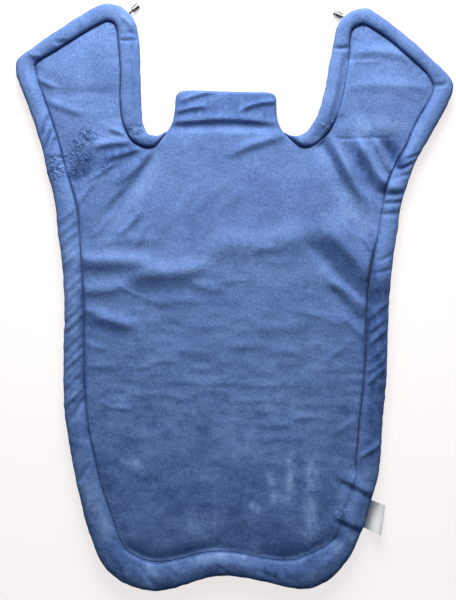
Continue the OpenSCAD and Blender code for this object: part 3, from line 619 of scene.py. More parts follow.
def puckers(stations):
    """Gathers along the seam, from -1 to 1, at station numbers."""
    along = stations * EDGE_STEP
    return noise_at(np.stack([along, 0 * along], axis=1), PUCKER_LENGTH, PUCKER_LAYER)


# Meshes

def unit(vectors):
    """The same directions, one long."""
    return vectors / np.maximum(np.linalg.norm(vectors, axis=-1), TINY)[..., None]


def vertex_normals(points, faces):
    """The mean direction of the faces round each point."""
    corners = points[faces]
    flat = np.cross(corners[:, 2] - corners[:, 0], corners[:, -1] - corners[:, 1])
    normals = np.zeros_like(points)
    for k in range(faces.shape[1]):
        np.add.at(normals, faces[:, k], flat)
    return unit(normals)


def pile_shade(points):
    """How light or dark the pile is drawn: brushed strokes with painted shade and highlights among them, mottling,
    and the dark line along the seam, partly stitches and partly painted shade of the groove.
    """
    shade = add_strokes(points, BRUSHED_AND_PAINTED_LIGHT)
    shade *= 1 + FEATHERING * noise_at(points, FEATHER_SIZE, FEATHER_LAYER)
    worn = smoothstep(points[:, 1], *MOTTLE_FADE)
    for number, (size_x, size_y, strength) in enumerate(MOTTLES):
        shade += strength * worn * noise_at(points, (size_x, size_y), MOTTLE_LAYER + number)
    # Dark line along the seam: darker stitches and painted shade of the groove
    seam_line = np.exp(-(nearest(points, SEAM)[1] / SEAM_LINE_REACH) ** 2)
    from_lump = np.linalg.norm(points - on_apron(LUMP_MIDDLE), axis=1)
    return shade + STITCH_AND_GROOVE_SHADE * seam_line * smoothstep(from_lump, *LUMP_RADII)


def make_mesh(name, points, faces, normals, material):
    """A smooth mesh object shaded by the given normals, so that pieces meet without a line."""
    mesh = bpy.data.meshes.new(name)
    mesh.from_pydata(points.tolist(), [], faces)
    mesh.polygons.foreach_set("use_smooth", [True] * len(mesh.polygons))
    mesh.materials.append(material)
    mesh.normals_split_custom_set_from_vertices(normals.tolist())
    plan = points[:, :2]
    for attribute, values in {"brushed_and_painted_light": pile_shade(plan), "crinkled": crinkled(plan)}.items():
        mesh.attributes.new(attribute, "FLOAT", "POINT").data.foreach_set("value", values)
    piece = bpy.data.objects.new(name, mesh)
    bpy.context.scene.collection.objects.link(piece)
    return piece


def open_edges(triangles):
    """The directed edges that only one triangle has."""
    sides = np.concatenate([triangles[:, [0, 1]], triangles[:, [1, 2]], triangles[:, [2, 0]]])
    key = np.sort(sides, axis=1)
    code = key[:, 0] * (key.max() + 1) + key[:, 1]
    _, first, uses = np.unique(code, return_index=True, return_counts=True)
    return sides[first[uses == 1]].tolist()


def ring_faces(count, sides):
    """Numbers of the points of a tube, ring by ring, and the faces between its rings."""
    here = np.arange(count * sides).reshape(count, sides)
    ahead = np.roll(here, -1, axis=1)
    return here, np.stack([here[:-1], ahead[:-1], ahead[1:], here[1:]], axis=2).reshape(-1, 4)


def tube(name, rings, normals, material):
    """A closed stretch of roll: its rings and an end face at each end."""
    here, faces = ring_faces(*rings.shape[:2])
    faces = faces.tolist() + [here[0][::-1].tolist(), here[-1].tolist()]
    return make_mesh(name, rings.reshape(-1, 3), faces, normals.reshape(-1, 3), material)


# Edge rolls

def roll_rings(outline, seam, rim, filled):
    """Rings round the edge roll: from the seam over the top to the outline, and back underneath."""
    across = outline - seam
    width = np.linalg.norm(across, axis=1)[:, None]
    across = across / width
    top = np.minimum(ROLL_TOP_Z, ROLL_BASE_Z + ROLL_RISE_PER_WIDTH * width)
    over = np.linspace(0, math.pi, ROLL_TOP_SIDES, endpoint=False)
    under = np.linspace(math.pi, 2 * math.pi, ROLL_BASE_SIDES, endpoint=False)
    turn = np.concatenate([over, under])
    upper = turn < math.pi
    lift = np.abs(np.sin(turn))
    out = (1 - np.cos(turn)) / 2
    plan = seam[:, None] + (out * width)[..., None] * across[:, None]
    edge = rim[:, None] + (RIM_Z - rim[:, None]) * out
    swell = lift ** ROLL_SQUARENESS
    soft = filled[:, None] * (out < ROLL_MIDDLE)
    swell = swell + (smoothstep(out, 0, ROLL_MIDDLE) - swell) * soft
    z = np.where(upper, edge + (top - edge) * swell, edge * (1 - lift ** ROLL_UNDER_SQUARENESS))
    along_seam = puckers(np.arange(len(seam)))[:, None]
    gathers = ROLL_PUCKER_HEIGHT * along_seam * np.exp(-ROLL_PUCKER_FADE * out) * lift
    gathers = gathers * (1 - filled[:, None])
    folds = relief(plan.reshape(-1, 2)).reshape(z.shape)
    kept = np.where(upper, lift + (1 - lift) * filled[:, None] * (1 - out), 0)
    full = smoothstep(width, *ROLL_FOLD_WIDTHS)
    wobble = EDGE_WOBBLE * noise_at(outline, EDGE_WOBBLE_SIZE, WOBBLE_LAYER)[:, None] * out ** 2
    outward = full * (wobble - ROLL_SIDE_BULGE * np.cos(turn) * lift * folds * upper)
    plan = plan + outward[..., None] * across[:, None]
    z = z + full * (folds * kept + gathers * lift * upper)
    return np.concatenate([plan, np.maximum(z, 0)[..., None]], axis=2)


# Pads

def panel_plan(boundary, splits, step, rows):
    """Triangles in the plane inside a closed boundary, with edges along the splits across it."""
    ahead = np.roll(boundary, -1, axis=0) - np.roll(boundary, 1, axis=0)
    inward = unit(np.stack([-ahead[:, 1], ahead[:, 0]], axis=1))
    lines = []
    for a, b in splits:
        steps = int(np.linalg.norm(boundary[b] - boundary[a]) / SPLIT_STEP)
        lines.append(boundary[a] + (boundary[b] - boundary[a]) * np.linspace(0, 1, steps + 1)[1:-1, None])
    inner = []
    for depth in rows:
        row = boundary + inward * depth
        inner.append(row[nearest(row, boundary)[1] > ROW_ROOM * depth])
    low, high = boundary.min(0), boundary.max(0)
    columns = np.arange(low[0], high[0], step)
    x, y = np.meshgrid(columns, np.arange(low[1], high[1], step * GRID_ROW_HEIGHT))
    x = x + step / 2 * (np.arange(x.shape[0]) % 2)[:, None]
    grid = np.stack([x.ravel(), y.ravel()], axis=1)
    chance = np.random.default_rng(GRID_SEED)
    grid = grid + chance.uniform(-GRID_SHIFT, GRID_SHIFT, grid.shape) * step
    inner.append(grid[nearest(grid, boundary)[1] > rows[-1] + SEAM_ROOM * step])
    inner = np.concatenate(inner)
    inner = inner[nearest(inner, np.concatenate(lines))[1] > SPLIT_ROOM * step]
    count = len(boundary)
    edges = [(i, (i + 1) % count) for i in range(count)]
    at = count
    for (a, b), line in zip(splits, lines):
        chain = [a, *range(at, at + len(line)), b]
        edges += list(zip(chain[:-1], chain[1:]))
        at += len(line)
    places = [Vector(p) for p in np.concatenate([boundary, *lines, inner])]
    made = delaunay_2d_cdt(places, edges, [], KEEP_INSIDE, MERGE_DISTANCE)
    return np.array([tuple(p) for p in made[0]]), np.array([f for f in made[2] if len(f) == 3])


class Panel:
    """The front or the back of the apron inside its seam, before it is cut into pieces."""

    def __init__(self, boundary, splits, step, rows, facing):
        self.flat, triangles = panel_plan(boundary, splits, step, rows)
        a, b, c = (self.flat[triangles[:, k]] for k in range(3))
        turn = (b - a)[:, 0] * (c - a)[:, 1] - (b - a)[:, 1] * (c - a)[:, 0]
        self.triangles = np.where((turn * facing > 0)[:, None], triangles, triangles[:, ::-1])
        self.near, self.depth = nearest(self.flat, boundary)
        self.middles = (a + b + c) / 3

    def raise_to(self, heights):
        """Gives the panel its heights, and its directions with them."""
        self.points = np.column_stack([self.flat, heights])
        self.normals = vertex_normals(self.points, self.triangles)


def front_heights(panel, rim, filled):
    """Heights of the front: a rounded shoulder along the seam, a slow crown, folds, swells and gathers."""
    edge = rim[panel.near]
    full = filled[panel.near]
    collar = collar_share(panel.flat)
    shoulder = SHOULDER_Z + (COLLAR_SHOULDER_Z - SHOULDER_Z) * collar
    rise = quarter_round(panel.depth, SEAM_SHOULDER)
    rise = rise + (smoothstep(panel.depth, 0, FILLED_SHOULDER) - rise) * full
    z = edge + (shoulder - edge) * rise
    wing = smoothstep(panel.flat[:, 1], *WING_FOOT_Y)
    reach = BODY_CROWN_REACH + (WING_CROWN_REACH - BODY_CROWN_REACH) * wing
    crown = 1 - np.exp(-(panel.depth / reach) ** CROWN_POWER)
    z += CROWN_RISE * (1 - COLLAR_CROWN_LOSS * collar) * crown
    gathers = puckers(panel.near) * np.exp(-panel.depth / PUCKER_REACH)
    gathers *= smoothstep(panel.depth, 0, PUCKER_START)
    z += PUCKER_HEIGHT * gathers * (1 - collar) * (1 - full)
    kept = 1 - (1 - smoothstep(panel.depth, 0, FOLD_START)) * (1 - full)
    return z + relief(panel.flat) * kept


def collar_share(points):
    """1 on the collar, 0 on the rest of the front."""
    x, y = points.T
    return smoothstep(y - NECK_Y, *COLLAR_FADE) * (np.abs(x) < NECK_HALF_WIDTH)


def back_heights(panel, rim):
    """Heights of the back: flat on the table, rounded up to the seam."""
    edge = rim[panel.near]
    return edge + (BACK_Z - edge) * quarter_round(panel.depth, BACK_SHOULDER)


def pad(name, front, back, on_front, on_back, material):
    """A closed pad from some triangles of the front and the back, walled where it is cut off."""
    top, base = front.triangles[on_front], back.triangles[on_back]
    start = len(front.points)
    points = np.concatenate([front.points, back.points])
    normals = np.concatenate([front.normals, back.normals])
    below = {tuple(p): start + i for i, p in enumerate(np.round(back.flat, PLACE_DIGITS))}
    partner = {}
    merged = np.arange(len(points))
    edges = open_edges(top)
    for i in {i for edge in edges for i in edge}:
        j = below[tuple(np.round(front.flat[i], PLACE_DIGITS))]
        if front.depth[i] < ON_SEAM:
            normals[i] = unit(normals[i] + normals[j])
            merged[j] = i
        partner[i] = merged[j]
    faces = top.tolist() + merged[base + start].tolist()
    for a, b in edges:
        wall = list(dict.fromkeys([b, a, partner[a], partner[b]]))
        if len(wall) > 2:
            faces.append(wall)
    used = sorted({i for face in faces for i in face})
    number = {i: k for k, i in enumerate(used)}
    faces = [[number[i] for i in face] for face in faces]
    return make_mesh(name, points[used], faces, normals[used], material)


# Care label

# Its section, out from the roll and back, as distance and height in mm
LABEL_SECTION = [
    (-6, 4.5), (2, 3.6), (8, 2.0), (15, 0.9), (22, 0.6), (24.6, 0.9), (25, 1.6), (23.6, 2.2),
    (16, 2.6), (9, 3.6), (3, 5.2), (-6, 6.8),
]
LABEL_LENGTH = 40 * MM
LABEL_THICKNESS = 0.35 * MM
LABEL_STEP = 0.8 * MM
LABEL_COLUMNS = 25
LABEL_SKEW = 0.16
# The upper layer's wave and the lift of the lower end, and how far out from the roll they come in
LABEL_WAVE = 0.5 * MM
LABEL_WAVE_SIZE = 9 * MM
LABEL_WAVE_START = (4 * MM, 18 * MM)
UPPER_LAYER_Z = 1.2 * MM
LABEL_LIFT = 13 * MM
LABEL_LIFT_START = (2 * MM, 20 * MM)


def care_label(material):
    """The folded tape that stands out of the side roll, as one closed piece, and its flat length."""
    joint = JOINTS["label_flip"]
    root, along = np.array(joint["pos_m"]), np.array(joint["axis"])
    out = np.array([-along[1], along[0], 0])
    section = smooth_line(np.array(LABEL_SECTION) * MM, LABEL_STEP)
    across = np.linspace(-0.5, 0.5, LABEL_COLUMNS) * LABEL_LENGTH
    u, z = section[:, :1, None], section[:, 1:, None]
    v = across[None, :, None] + LABEL_SKEW * u
    wave = LABEL_WAVE * np.sin(v / LABEL_WAVE_SIZE) * smoothstep(u, *LABEL_WAVE_START)
    lift = LABEL_LIFT * (across / LABEL_LENGTH + 0.5)[None, :, None] * smoothstep(u, *LABEL_LIFT_START)
    height = z + lift + wave * (z > UPPER_LAYER_Z)
    sheet = root * (1, 1, 0) + u * out + v * along + height * np.array([0, 0, 1])
    rows, columns = sheet.shape[:2]
    here = np.arange(rows * columns).reshape(rows, columns)
    quads = np.stack([here[:-1, :-1], here[:-1, 1:], here[1:, 1:], here[1:, :-1]], axis=2).reshape(-1, 4)
    triangles = np.concatenate([quads[:, [0, 1, 2]], quads[:, [0, 2, 3]]])
    outside = sheet.reshape(-1, 3)
    normals = vertex_normals(outside, quads)
    inside = outside - normals * LABEL_THICKNESS
    inside[:, 2] = np.maximum(inside[:, 2], 0)
    shift = len(outside)
    faces = triangles.tolist() + (triangles[:, ::-1] + shift).tolist()
    faces += [[b, a, a + shift, b + shift] for a, b in open_edges(triangles)]
    points = np.concatenate([outside, inside])
    piece = make_mesh("folded_label", points, faces, np.concatenate([normals, -normals]), material)
    return piece, np.linalg.norm(np.diff(section, axis=0), axis=1).sum()


# Where the pieces begin and end

def fold_line(side):
    """A wing's fold: a point on it and the direction across it towards the wing."""
    joint = JOINTS[f"{side}_wing_fold"]
    axis = np.array(joint["axis"])
    return np.array(joint["pos_m"][:2]), np.array([-axis[1], axis[0]])


def crossings(line, side):
    """The two stations where the seam passes the foot of a wing."""
    point, up = fold_line(side)
    beyond = ((line - point) @ up > -FOLD_SPLIT) & (line[:, 0] * point[0] > point[0] ** 2)
    inside = np.flatnonzero(beyond)
    return inside[0], inside[-1]


def station(line, pixel):
    """The station of a line that is nearest to a pixel."""
    return int(nearest(on_apron([pixel]), line)[0][0])


# Materials

# Colours of the finishes, dark and light
PLUSH_COLOURS = (0.085, 0.155, 0.365), (0.176, 0.286, 0.592)
WADDING_COLOURS = (0.66, 0.64, 0.58), (0.86, 0.85, 0.82)
VINYL_COLOURS = (0.035, 0.037, 0.04), (0.075, 0.077, 0.082)
CLASP_COLOURS = (0.27, 0.25, 0.245), (0.46, 0.44, 0.43)
MAGNET_COLOURS = (0.2, 0.2, 0.21), (0.32, 0.32, 0.33)
CORD_COLOURS = (0.006, 0.006, 0.007), (0.03, 0.03, 0.033)
TAPE_COLOURS = (0.93, 0.93, 0.92), (0.98, 0.98, 0.97)
PLUSH_SHEEN_TINT = (0.5, 0.68, 1, 1)
METAL_EDGE_TINT = (0.3, 0.3, 0.3, 1)
# Smoothest and roughest places of the metals and the vinyl
CLASP_ROUGHNESS = (0.18, 0.32)
MAGNET_ROUGHNESS = (0.3, 0.45)
VINYL_ROUGHNESS = (0.38, 0.6)
# Where most values of a noise lie, and their middle
NOISE_SPREAD = (0.3, 0.7)
NOISE_MIDDLE = 0.5
# Scales of marks that are longer along y: streaks and fibres of the pile, and turning marks of metal
STREAK_SCALE = (460, 110, 460)
FIBRE_SCALE = (1500, 620, 1500)
TURNING_SCALE = (3000, 900, 3000)
# Sockets of the Mix node: share, two colours and the result
MIX_SHARE, MIX_DARK, MIX_LIGHT = 0, 6, 7
MIX_COLOUR = 2
# Scale of the weave in the cord and the tape, and how far its threads wander
CORD_THREADS = 900.0
TAPE_THREADS = 700.0
THREAD_WANDER = 0.4
# Pile: grain against the plush's, and the share of each layer in its shade and in its height
PLUSH_GRAIN = 1.0
WADDING_GRAIN = 0.6
PILE_SHADE = {"streaks": 0.18, "tufts": 0.48, "patches": 0.34}
PILE_HEIGHT = {"streaks": 0.3, "tufts": 0.55, "fibres": 0.4}
# Shades of the pile that are fully dark and fully light, and how strongly the brushed pile and the painted shade
# and highlights change them
PLUSH_SHADES = (0.37, 0.63)
BRUSH_AND_PAINT_STRENGTH = 0.24
# Creases of crinkled pile: scale, width as a share of the noise, painted shade in them and depth
CREASE_SCALE = 165
CREASE_WIDTH = 0.09
CREASE_PAINTED_SHADE = -1.1
CREASE_DEPTH = 1.6


class Graph:
    """Short ways to add and join the nodes of one tree."""

    def __init__(self, tree):
        self.tree = tree

    def add(self, kind, values=(), **settings):
        node = self.tree.nodes.new(kind)
        for key, value in settings.items():
            setattr(node, key, value)
        self.fill(node, dict(values))
        return node

    def fill(self, node, values):
        for socket, value in values.items():
            self.set(node.inputs[socket], value)

    def set(self, socket, value):
        if isinstance(value, bpy.types.NodeSocket):
            self.tree.links.new(value, socket)
        else:
            socket.default_value = value

    def math(self, operation, *values):
        return self.add("ShaderNodeMath", enumerate(values), operation=operation).outputs[0]

    def sum_of(self, layers, shares):
        """The layers added up, each times its share."""
        total = 0.0
        for name, share in shares.items():
            total = self.math("MULTIPLY_ADD", layers[name], share, total)
        return total

    def attribute(self, name):
        return self.add("ShaderNodeAttribute", attribute_name=name).outputs["Fac"]

    def noise(self, place, scale=1, detail=2, roughness=0.5):
        values = {"Vector": place, "Scale": scale, "Detail": detail, "Roughness": roughness}
        return self.add("ShaderNodeTexNoise", values).outputs[0]

    def stretch(self, place, scale):
        return self.add("ShaderNodeMapping", {"Vector": place, "Scale": scale}).outputs[0]

    def spread(self, value, low, high, to_low=0.0, to_high=1.0):
        values = {"Value": value, "From Min": low, "From Max": high, "To Min": to_low, "To Max": to_high}
        return self.add("ShaderNodeMapRange", values).outputs[0]

    def tint(self, share, dark, light):
        values = {MIX_SHARE: share, MIX_DARK: (*dark, 1), MIX_LIGHT: (*light, 1)}
        return self.add("ShaderNodeMix", data_type="RGBA", values=values).outputs[MIX_COLOUR]

    def scale(self, vector, factor):
        return self.add("ShaderNodeVectorMath", {0: vector, "Scale": factor}, operation="SCALE").outputs[0]

    def bump(self, height, strength, distance):
        values = {"Height": height, "Strength": strength, "Distance": distance}
        return self.add("ShaderNodeBump", values).outputs[0]

    def place(self):
        return self.add("ShaderNodeTexCoord").outputs["Object"]

    def group(self, tree, values):
        return self.add("ShaderNodeGroup", node_tree=tree, values=values).outputs


def new_material(name):
    """A material, its graph and its shader."""
    material = bpy.data.materials.new(name)
    material.use_nodes = True
    return material, Graph(material.node_tree), material.node_tree.nodes["Principled BSDF"]


def new_group(name, inputs, outputs):
    """An empty node group with named sockets, and its input and output nodes."""
    tree = bpy.data.node_groups.new(name, "ShaderNodeTree")
    for socket, kind in inputs.items():
        tree.interface.new_socket(name=socket, in_out="INPUT", socket_type=kind)
    for socket in outputs:
        tree.interface.new_socket(name=socket, in_out="OUTPUT", socket_type="NodeSocketFloat")
    graph = Graph(tree)
    return tree, graph, graph.add("NodeGroupInput").outputs, graph.add("NodeGroupOutput").inputs


def pile_group():
    """Short pile: the shade of brushed patches and tufts, and the height of the fibres."""
    sockets = {"Place": "NodeSocketVector", "Grain": "NodeSocketFloat"}
    tree, graph, given, result = new_group("pile", sockets, ["Shade", "Height"])
    place = graph.scale(given["Place"], given["Grain"])
    layers = {
        "patches": graph.noise(place, scale=26, detail=4, roughness=0.6),
        "tufts": graph.noise(place, scale=300, detail=4, roughness=0.65),
        "streaks": graph.noise(graph.stretch(place, STREAK_SCALE), detail=3, roughness=0.6),
        "fibres": graph.noise(graph.stretch(place, FIBRE_SCALE), detail=2, roughness=0.6),
    }
    graph.set(result["Shade"], graph.sum_of(layers, PILE_SHADE))
    graph.set(result["Height"], graph.sum_of(layers, PILE_HEIGHT))
    return tree


def weave_group():
    """Plain weave: threads that pass over and under one another."""
    sockets = {"Place": "NodeSocketVector", "Threads": "NodeSocketFloat"}
    tree, graph, given, result = new_group("weave", sockets, ["Thread"])
    bands = []
    for direction in ("X", "Y"):
        values = {"Vector": given["Place"], "Scale": given["Threads"], "Distortion": THREAD_WANDER}
        bands.append(graph.add("ShaderNodeTexWave", values, bands_direction=direction).outputs["Fac"])
    graph.set(result["Thread"], graph.math("MAXIMUM", *bands))
    return tree


def plush(pile):
    """Short-pile plush: tufts in two shades, brushed strokes with painted shade and highlights, creased patches
    with painted shade, and a soft sheen.
    """
    material, graph, shader = new_material("plush")
    nap = graph.group(pile, {"Place": graph.place(), "Grain": PLUSH_GRAIN})
    wander = graph.noise(graph.place(), scale=CREASE_SCALE, detail=2, roughness=0.6)
    aside = graph.math("ABSOLUTE", graph.math("SUBTRACT", wander, NOISE_MIDDLE))
    line = graph.spread(aside, 0.0, CREASE_WIDTH, 1.0, 0.0)
    crease = graph.math("MULTIPLY", graph.attribute("crinkled"), line)
    # Painted shade in the creases of crinkled pile joins the brushed and painted strokes
    brushed_and_painted_light = graph.math("MULTIPLY_ADD", crease, CREASE_PAINTED_SHADE, graph.attribute("brushed_and_painted_light"))
    colour = graph.tint(graph.spread(nap["Shade"], *PLUSH_SHADES), *PLUSH_COLOURS)
    # Below zero the brushed and painted value darkens and deepens the colour as painted shade; above zero it pales
    # and lightens it as painted highlight or lighter pile
    deepen = graph.math("MULTIPLY_ADD", brushed_and_painted_light, -BRUSH_AND_PAINT_STRENGTH, 1.0)
    colour = graph.add("ShaderNodeGamma", {"Color": colour, "Gamma": deepen}).outputs[0]
    colour = graph.scale(colour, graph.math("MULTIPLY_ADD", brushed_and_painted_light, BRUSH_AND_PAINT_STRENGTH, 1.0))
    height = graph.math("MULTIPLY_ADD", crease, -CREASE_DEPTH, nap["Height"])
    graph.fill(shader, {
        "Base Color": colour,
        "Normal": graph.bump(height, strength=0.7, distance=1.8 * MM),
        "Roughness": 0.92,
        "Specular IOR Level": 0.06,
        "Sheen Weight": 0.25,
        "Sheen Roughness": 0.45,
        "Sheen Tint": PLUSH_SHEEN_TINT,
    })
    return material


def wadding(pile):
    """Loose off-white polyester filling."""
    material, graph, shader = new_material("wadding")
    nap = graph.group(pile, {"Place": graph.place(), "Grain": WADDING_GRAIN})
    graph.fill(shader, {
        "Base Color": graph.tint(nap["Shade"], *WADDING_COLOURS),
        "Normal": graph.bump(nap["Height"], strength=0.8, distance=2 * MM),
        "Roughness": 0.95,
    })
    return material


def lead_vinyl():
    """Heavy dark shielding sheet with a fine leather grain."""
    material, graph, shader = new_material("lead_vinyl")
    place = graph.place()
    grain = graph.noise(place, scale=700, detail=5, roughness=0.65)
    smudge = graph.noise(place, scale=30, detail=3)
    graph.fill(shader, {
        "Base Color": graph.tint(smudge, *VINYL_COLOURS),
        "Roughness": graph.spread(grain, *NOISE_SPREAD, *VINYL_ROUGHNESS),
        "Normal": graph.bump(grain, strength=0.3, distance=0.4 * MM),
    })
    return material


def metal(name, colours, roughness):
    """Plated metal with fine turning marks and finger smudges."""
    material, graph, shader = new_material(name)
    place = graph.place()
    marks = graph.noise(graph.stretch(place, TURNING_SCALE), detail=3, roughness=0.6)
    smudge = graph.noise(place, scale=260, detail=3)
    graph.fill(shader, {
        "Base Color": graph.tint(smudge, *colours),
        "Roughness": graph.spread(smudge, *NOISE_SPREAD, *roughness),
        "Normal": graph.bump(marks, strength=0.12, distance=0.1 * MM),
        "Metallic": 1,
        "Specular Tint": METAL_EDGE_TINT,
    })
    return material


def elastic_cord(weave):
    """Black braided elastic."""
    material, graph, shader = new_material("elastic_cord")
    thread = graph.group(weave, {"Place": graph.place(), "Threads": CORD_THREADS})["Thread"]
    graph.fill(shader, {
        "Base Color": graph.tint(thread, *CORD_COLOURS),
        "Normal": graph.bump(thread, strength=0.6, distance=0.3 * MM),
        "Roughness": 0.7,
    })
    return material


def label_tape(weave):
    """Blank white satin tape."""
    material, graph, shader = new_material("label_tape")
    place = graph.place()
    thread = graph.group(weave, {"Place": place, "Threads": TAPE_THREADS})["Thread"]
    shade = graph.math("MULTIPLY", graph.noise(place, scale=90, detail=3), thread)
    graph.fill(shader, {
        "Base Color": graph.tint(shade, *TAPE_COLOURS),
        "Normal": graph.bump(thread, strength=0.25, distance=0.15 * MM),
        "Roughness": 0.55,
        "Sheen Weight": 0.2,
    })
    return material


PILE = pile_group()
WEAVE = weave_group()
FINISHES = {
    "plush": plush(PILE),
    "wadding": wadding(PILE),
    "lead_vinyl": lead_vinyl(),
    "clasp_metal": metal("clasp_metal", CLASP_COLOURS, CLASP_ROUGHNESS),
    "magnet": metal("magnet", MAGNET_COLOURS, MAGNET_ROUGHNESS),
    "elastic_cord": elastic_cord(WEAVE),
    "label_tape": label_tape(WEAVE),
}
for subpart in frame["record"]["subparts"]:
    materials = frame["nodes"][subpart["node"]].data.materials
    materials.clear()
    materials.append(FINISHES[subpart["material_slot"]])


# The pieces

def show(piece, bodies, replaced):
    """Lets a piece ride on one body, or leaves a piece that spans two where it lies, in place of its solids."""
    if len(bodies) == 1:
        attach(piece, bodies[0])
    elif bodies[1] == "collar":
        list(bodies)
        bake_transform(piece)
    else:
        point, up = fold_line(bodies[1].split("_")[0])
        start, end = point - up * FOLD_REACH, point + up * FOLD_REACH
        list(bodies)
        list(start)
        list(end)
        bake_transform(piece)
    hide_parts(*replaced)


def left_of(points, a, b):
    """Which points lie to the left of the line from a to b."""
    run = b - a
    return run[0] * (points[:, 1] - a[1]) - run[1] * (points[:, 0] - a[0]) > 0


def seam_heights(boundary, seam_count):
    """Height of the seam and of the collar's free edge, and how far the seam is filled in, from 0 to 1."""
    free = np.arange(len(boundary)) >= seam_count
    gap = np.minimum(*(np.linalg.norm(boundary - boundary[k], axis=1) for k in (0, seam_count - 1)))
    low = RIM_Z + (COLLAR_RIM_Z - RIM_Z) * free * smoothstep(gap, 0, COLLAR_RIM_FADE)
    filled = np.zeros(len(boundary))
    for height, line in FILLED_SEAMS:
        share = np.exp(-(distance_to_line(boundary, on_apron(line))[0] / FILL_FADE) ** 2)
        low = low + (height - low) * share
        filled = np.maximum(filled, share * min(1, (height - RIM_Z) / SEAM_DEPTH))
    return low, filled


boundary = np.concatenate([SEAM, COLLAR_LINE[1:-1]])
last = len(SEAM) - 1
rim, filled = seam_heights(boundary, len(SEAM))
left_in, left_out = crossings(SEAM, "left")
right_out, right_in = crossings(SEAM, "right")
left_join, right_join = station(SEAM, LEFT_ROLL_JOIN), station(SEAM, RIGHT_ROLL_JOIN)
left_hem, right_hem = station(SEAM, LEFT_HEM_JOIN), station(SEAM, RIGHT_HEM_JOIN)
LEFT, RIGHT, BODY = ["apron_body", "left_wing"], ["apron_body", "right_wing"], ["apron_body"]

# Each roll: its name, its first and last station, and the bodies it lies across
ROLLS = [
    ("left_notch", 0, left_in, BODY),
    ("left_wing_inner", left_in, left_join, LEFT),
    ("left_wing_outer", left_join, left_out, LEFT),
    ("left_side", left_out, left_hem, BODY),
    ("hem", left_hem, right_hem, BODY),
    ("right_side", right_hem, right_out, BODY),
    ("right_wing_outer", right_out, right_join, RIGHT),
    ("right_wing_inner", right_join, right_in, RIGHT),
    ("right_notch", right_in, last, BODY),
]
rings = roll_rings(OUTLINE, SEAM, rim[:last + 1], filled[:last + 1])
ring_normals = vertex_normals(rings.reshape(-1, 3), ring_faces(*rings.shape[:2])[1]).reshape(rings.shape)
for roll, first, end, bodies in ROLLS:
    stretch = slice(first, end + 1)
    piece = tube(f"{roll}_edge", rings[stretch], ring_normals[stretch], FINISHES["plush"])
    show(piece, bodies, [f"{roll}_roll", f"{roll}_filler"])

splits = [(left_out, left_in), (right_in, right_out), (0, last)]
front = Panel(boundary, splits, GRID_STEP, SEAM_ROWS, 1)
front.raise_to(front_heights(front, rim, filled))
back = Panel(boundary, splits, BACK_GRID_STEP, BACK_ROWS, -1)
back.raise_to(back_heights(back, rim))
on_panel = {}
for panel in (front, back):
    x = panel.middles[:, 0]
    left = left_of(panel.middles, boundary[left_out], boundary[left_in]) & (x < -NECK_HALF_WIDTH)
    right = left_of(panel.middles, boundary[right_in], boundary[right_out]) & (x > NECK_HALF_WIDTH)
    collar = left_of(panel.middles, boundary[0], boundary[last]) & (np.abs(x) < NECK_HALF_WIDTH)
    on_panel[panel] = {"left_wing": left, "right_wing": right, "collar": collar}
    on_panel[panel]["body"] = ~(left | right | collar)

# Each pad: the bodies it lies across and the inner solids that it stands for beside its two covers
PADS = {
    "body": (BODY, ["body_front_padding", "body_rear_padding"]),
    "left_wing": (LEFT, ["left_wing_padding"]),
    "right_wing": (RIGHT, ["right_wing_padding"]),
    "collar": (["apron_body", "collar"], ["collar_padding"]),
}
for part, (bodies, inner) in PADS.items():
    on_front, on_back = on_panel[front][part], on_panel[back][part]
    piece = pad(f"{part}_pad", front, back, on_front, on_back, FINISHES["plush"])
    show(piece, bodies, [f"{part}_front_cover", f"{part}_back_cover", *inner])

label, label_flat_length = care_label(FINISHES["label_tape"])
show(label, ["label"], ["care_label"])


# Stage, light and camera

# The camera: the picture's middle and height in pixels, and the height at which the outline lies
IMAGE_MIDDLE = (228, 300)
IMAGE_HEIGHT = 600
SENSOR = 36
CAMERA_RISE = 1.5
OUTLINE_Z = 9 * MM
# The table: how it reflects, and the white that it shows to the camera
TABLE_SIZE = 8
TABLE_DROP = 0.2 * MM
TABLE_COLOUR = (0.32, 0.32, 0.32, 1)
TABLE_GLOW_COLOUR = (1.05, 1, 0.988, 1)
TABLE_GLOW = 0.75
# The lamp over the collar
KEY_PLACE = (-0.02, 1.14, 0.61)
KEY_AIM = (0, 0.1, 0)
KEY_SIZE = 0.8
KEY_POWER = 26.5
# The weak light from all sides, and the room that the metal mirrors: upward slopes where the ceiling
# light begins and is full and between which the pale horizon fades, with its strength at both
AMBIENT = 0.1
AMBIENT_TINT = (0.5, 0.8, 1.05)
WHITE = (1, 1, 1)
CEILING_LIGHT = (0.93, 0.99)
HORIZON = (0.05, 0.4)
HORIZON_STRENGTH = (0.4, 0.06)


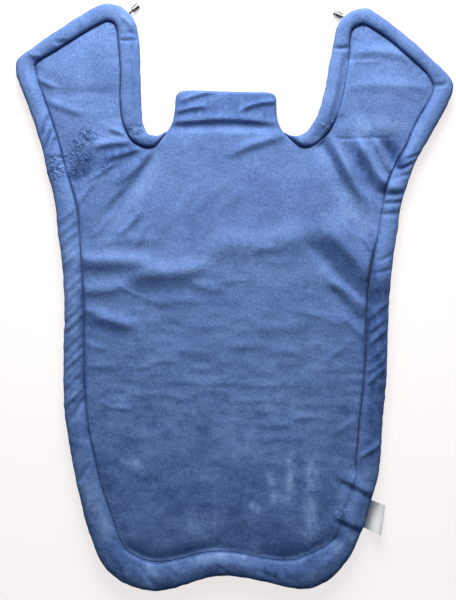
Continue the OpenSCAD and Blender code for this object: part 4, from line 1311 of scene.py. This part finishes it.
def white_floor():
    """A white table that keeps the apron's soft shadow."""
    material, graph, shader = new_material("white_table")
    nodes = graph.tree.nodes
    rays = graph.add("ShaderNodeLightPath").outputs
    seen = graph.math("MAXIMUM", rays["Is Camera Ray"], rays["Is Glossy Ray"])
    seen = graph.math("MAXIMUM", seen, rays["Is Transmission Ray"])
    paper = graph.add("ShaderNodeBsdfDiffuse", {"Color": TABLE_COLOUR})
    glow = graph.add("ShaderNodeEmission", {"Color": TABLE_GLOW_COLOUR})
    graph.set(glow.inputs["Strength"], graph.math("MULTIPLY", seen, TABLE_GLOW))
    both = graph.add("ShaderNodeAddShader", {0: paper.outputs[0], 1: glow.outputs[0]})
    graph.set(nodes["Material Output"].inputs["Surface"], both.outputs[0])
    nodes.remove(shader)
    bpy.ops.mesh.primitive_plane_add(size=TABLE_SIZE, location=(0, 0, -TABLE_DROP))
    floor = bpy.context.object
    floor.name = "table"
    floor.data.materials.append(material)


def surroundings():
    """Weak even light that is white to the camera, and to the metal a room with a ceiling light."""
    world = bpy.data.worlds.new("studio")
    world.use_nodes = True
    bpy.context.scene.world = world
    graph = Graph(world.node_tree)
    background = world.node_tree.nodes["Background"]
    rays = graph.add("ShaderNodeLightPath").outputs
    direction = graph.add("ShaderNodeTexCoord").outputs["Generated"]
    height = graph.add("ShaderNodeSeparateXYZ", {0: direction}).outputs["Z"]
    horizon = graph.spread(height, *HORIZON, *HORIZON_STRENGTH)
    room = graph.math("MAXIMUM", graph.spread(height, *CEILING_LIGHT), horizon)
    lit = graph.math("MAXIMUM", rays["Is Glossy Ray"], rays["Is Camera Ray"])
    graph.set(background.inputs["Color"], graph.tint(lit, AMBIENT_TINT, WHITE))
    extra = graph.math("SUBTRACT", room, AMBIENT)
    strength = graph.math("MULTIPLY_ADD", rays["Is Glossy Ray"], extra, AMBIENT)
    graph.set(background.inputs["Strength"], graph.math("MAXIMUM", strength, rays["Is Camera Ray"]))


def lamp(name, place, aim, size, power):
    """A square area light."""
    data = bpy.data.lights.new(name, "AREA")
    data.size = size
    data.energy = power
    light = bpy.data.objects.new(name, data)
    light.location = place
    light.rotation_euler = (Vector(aim) - Vector(place)).to_track_quat("-Z", "Y").to_euler()
    bpy.context.scene.collection.objects.link(light)


def overhead_camera():
    """Looks straight down at the middle of the photograph's frame."""
    x, y = on_apron(IMAGE_MIDDLE)
    data = bpy.data.cameras.new("camera")
    data.sensor_width = SENSOR
    data.lens = SENSOR * CAMERA_RISE / (IMAGE_HEIGHT * PIXEL)
    camera = bpy.data.objects.new("camera", data)
    camera.location = (x, y, CAMERA_RISE + OUTLINE_Z)
    bpy.context.scene.collection.objects.link(camera)
    bpy.context.scene.camera = camera


white_floor()
surroundings()
lamp("key", KEY_PLACE, KEY_AIM, KEY_SIZE, KEY_POWER)
overhead_camera()
bpy.context.scene.view_settings.view_transform = "Standard"
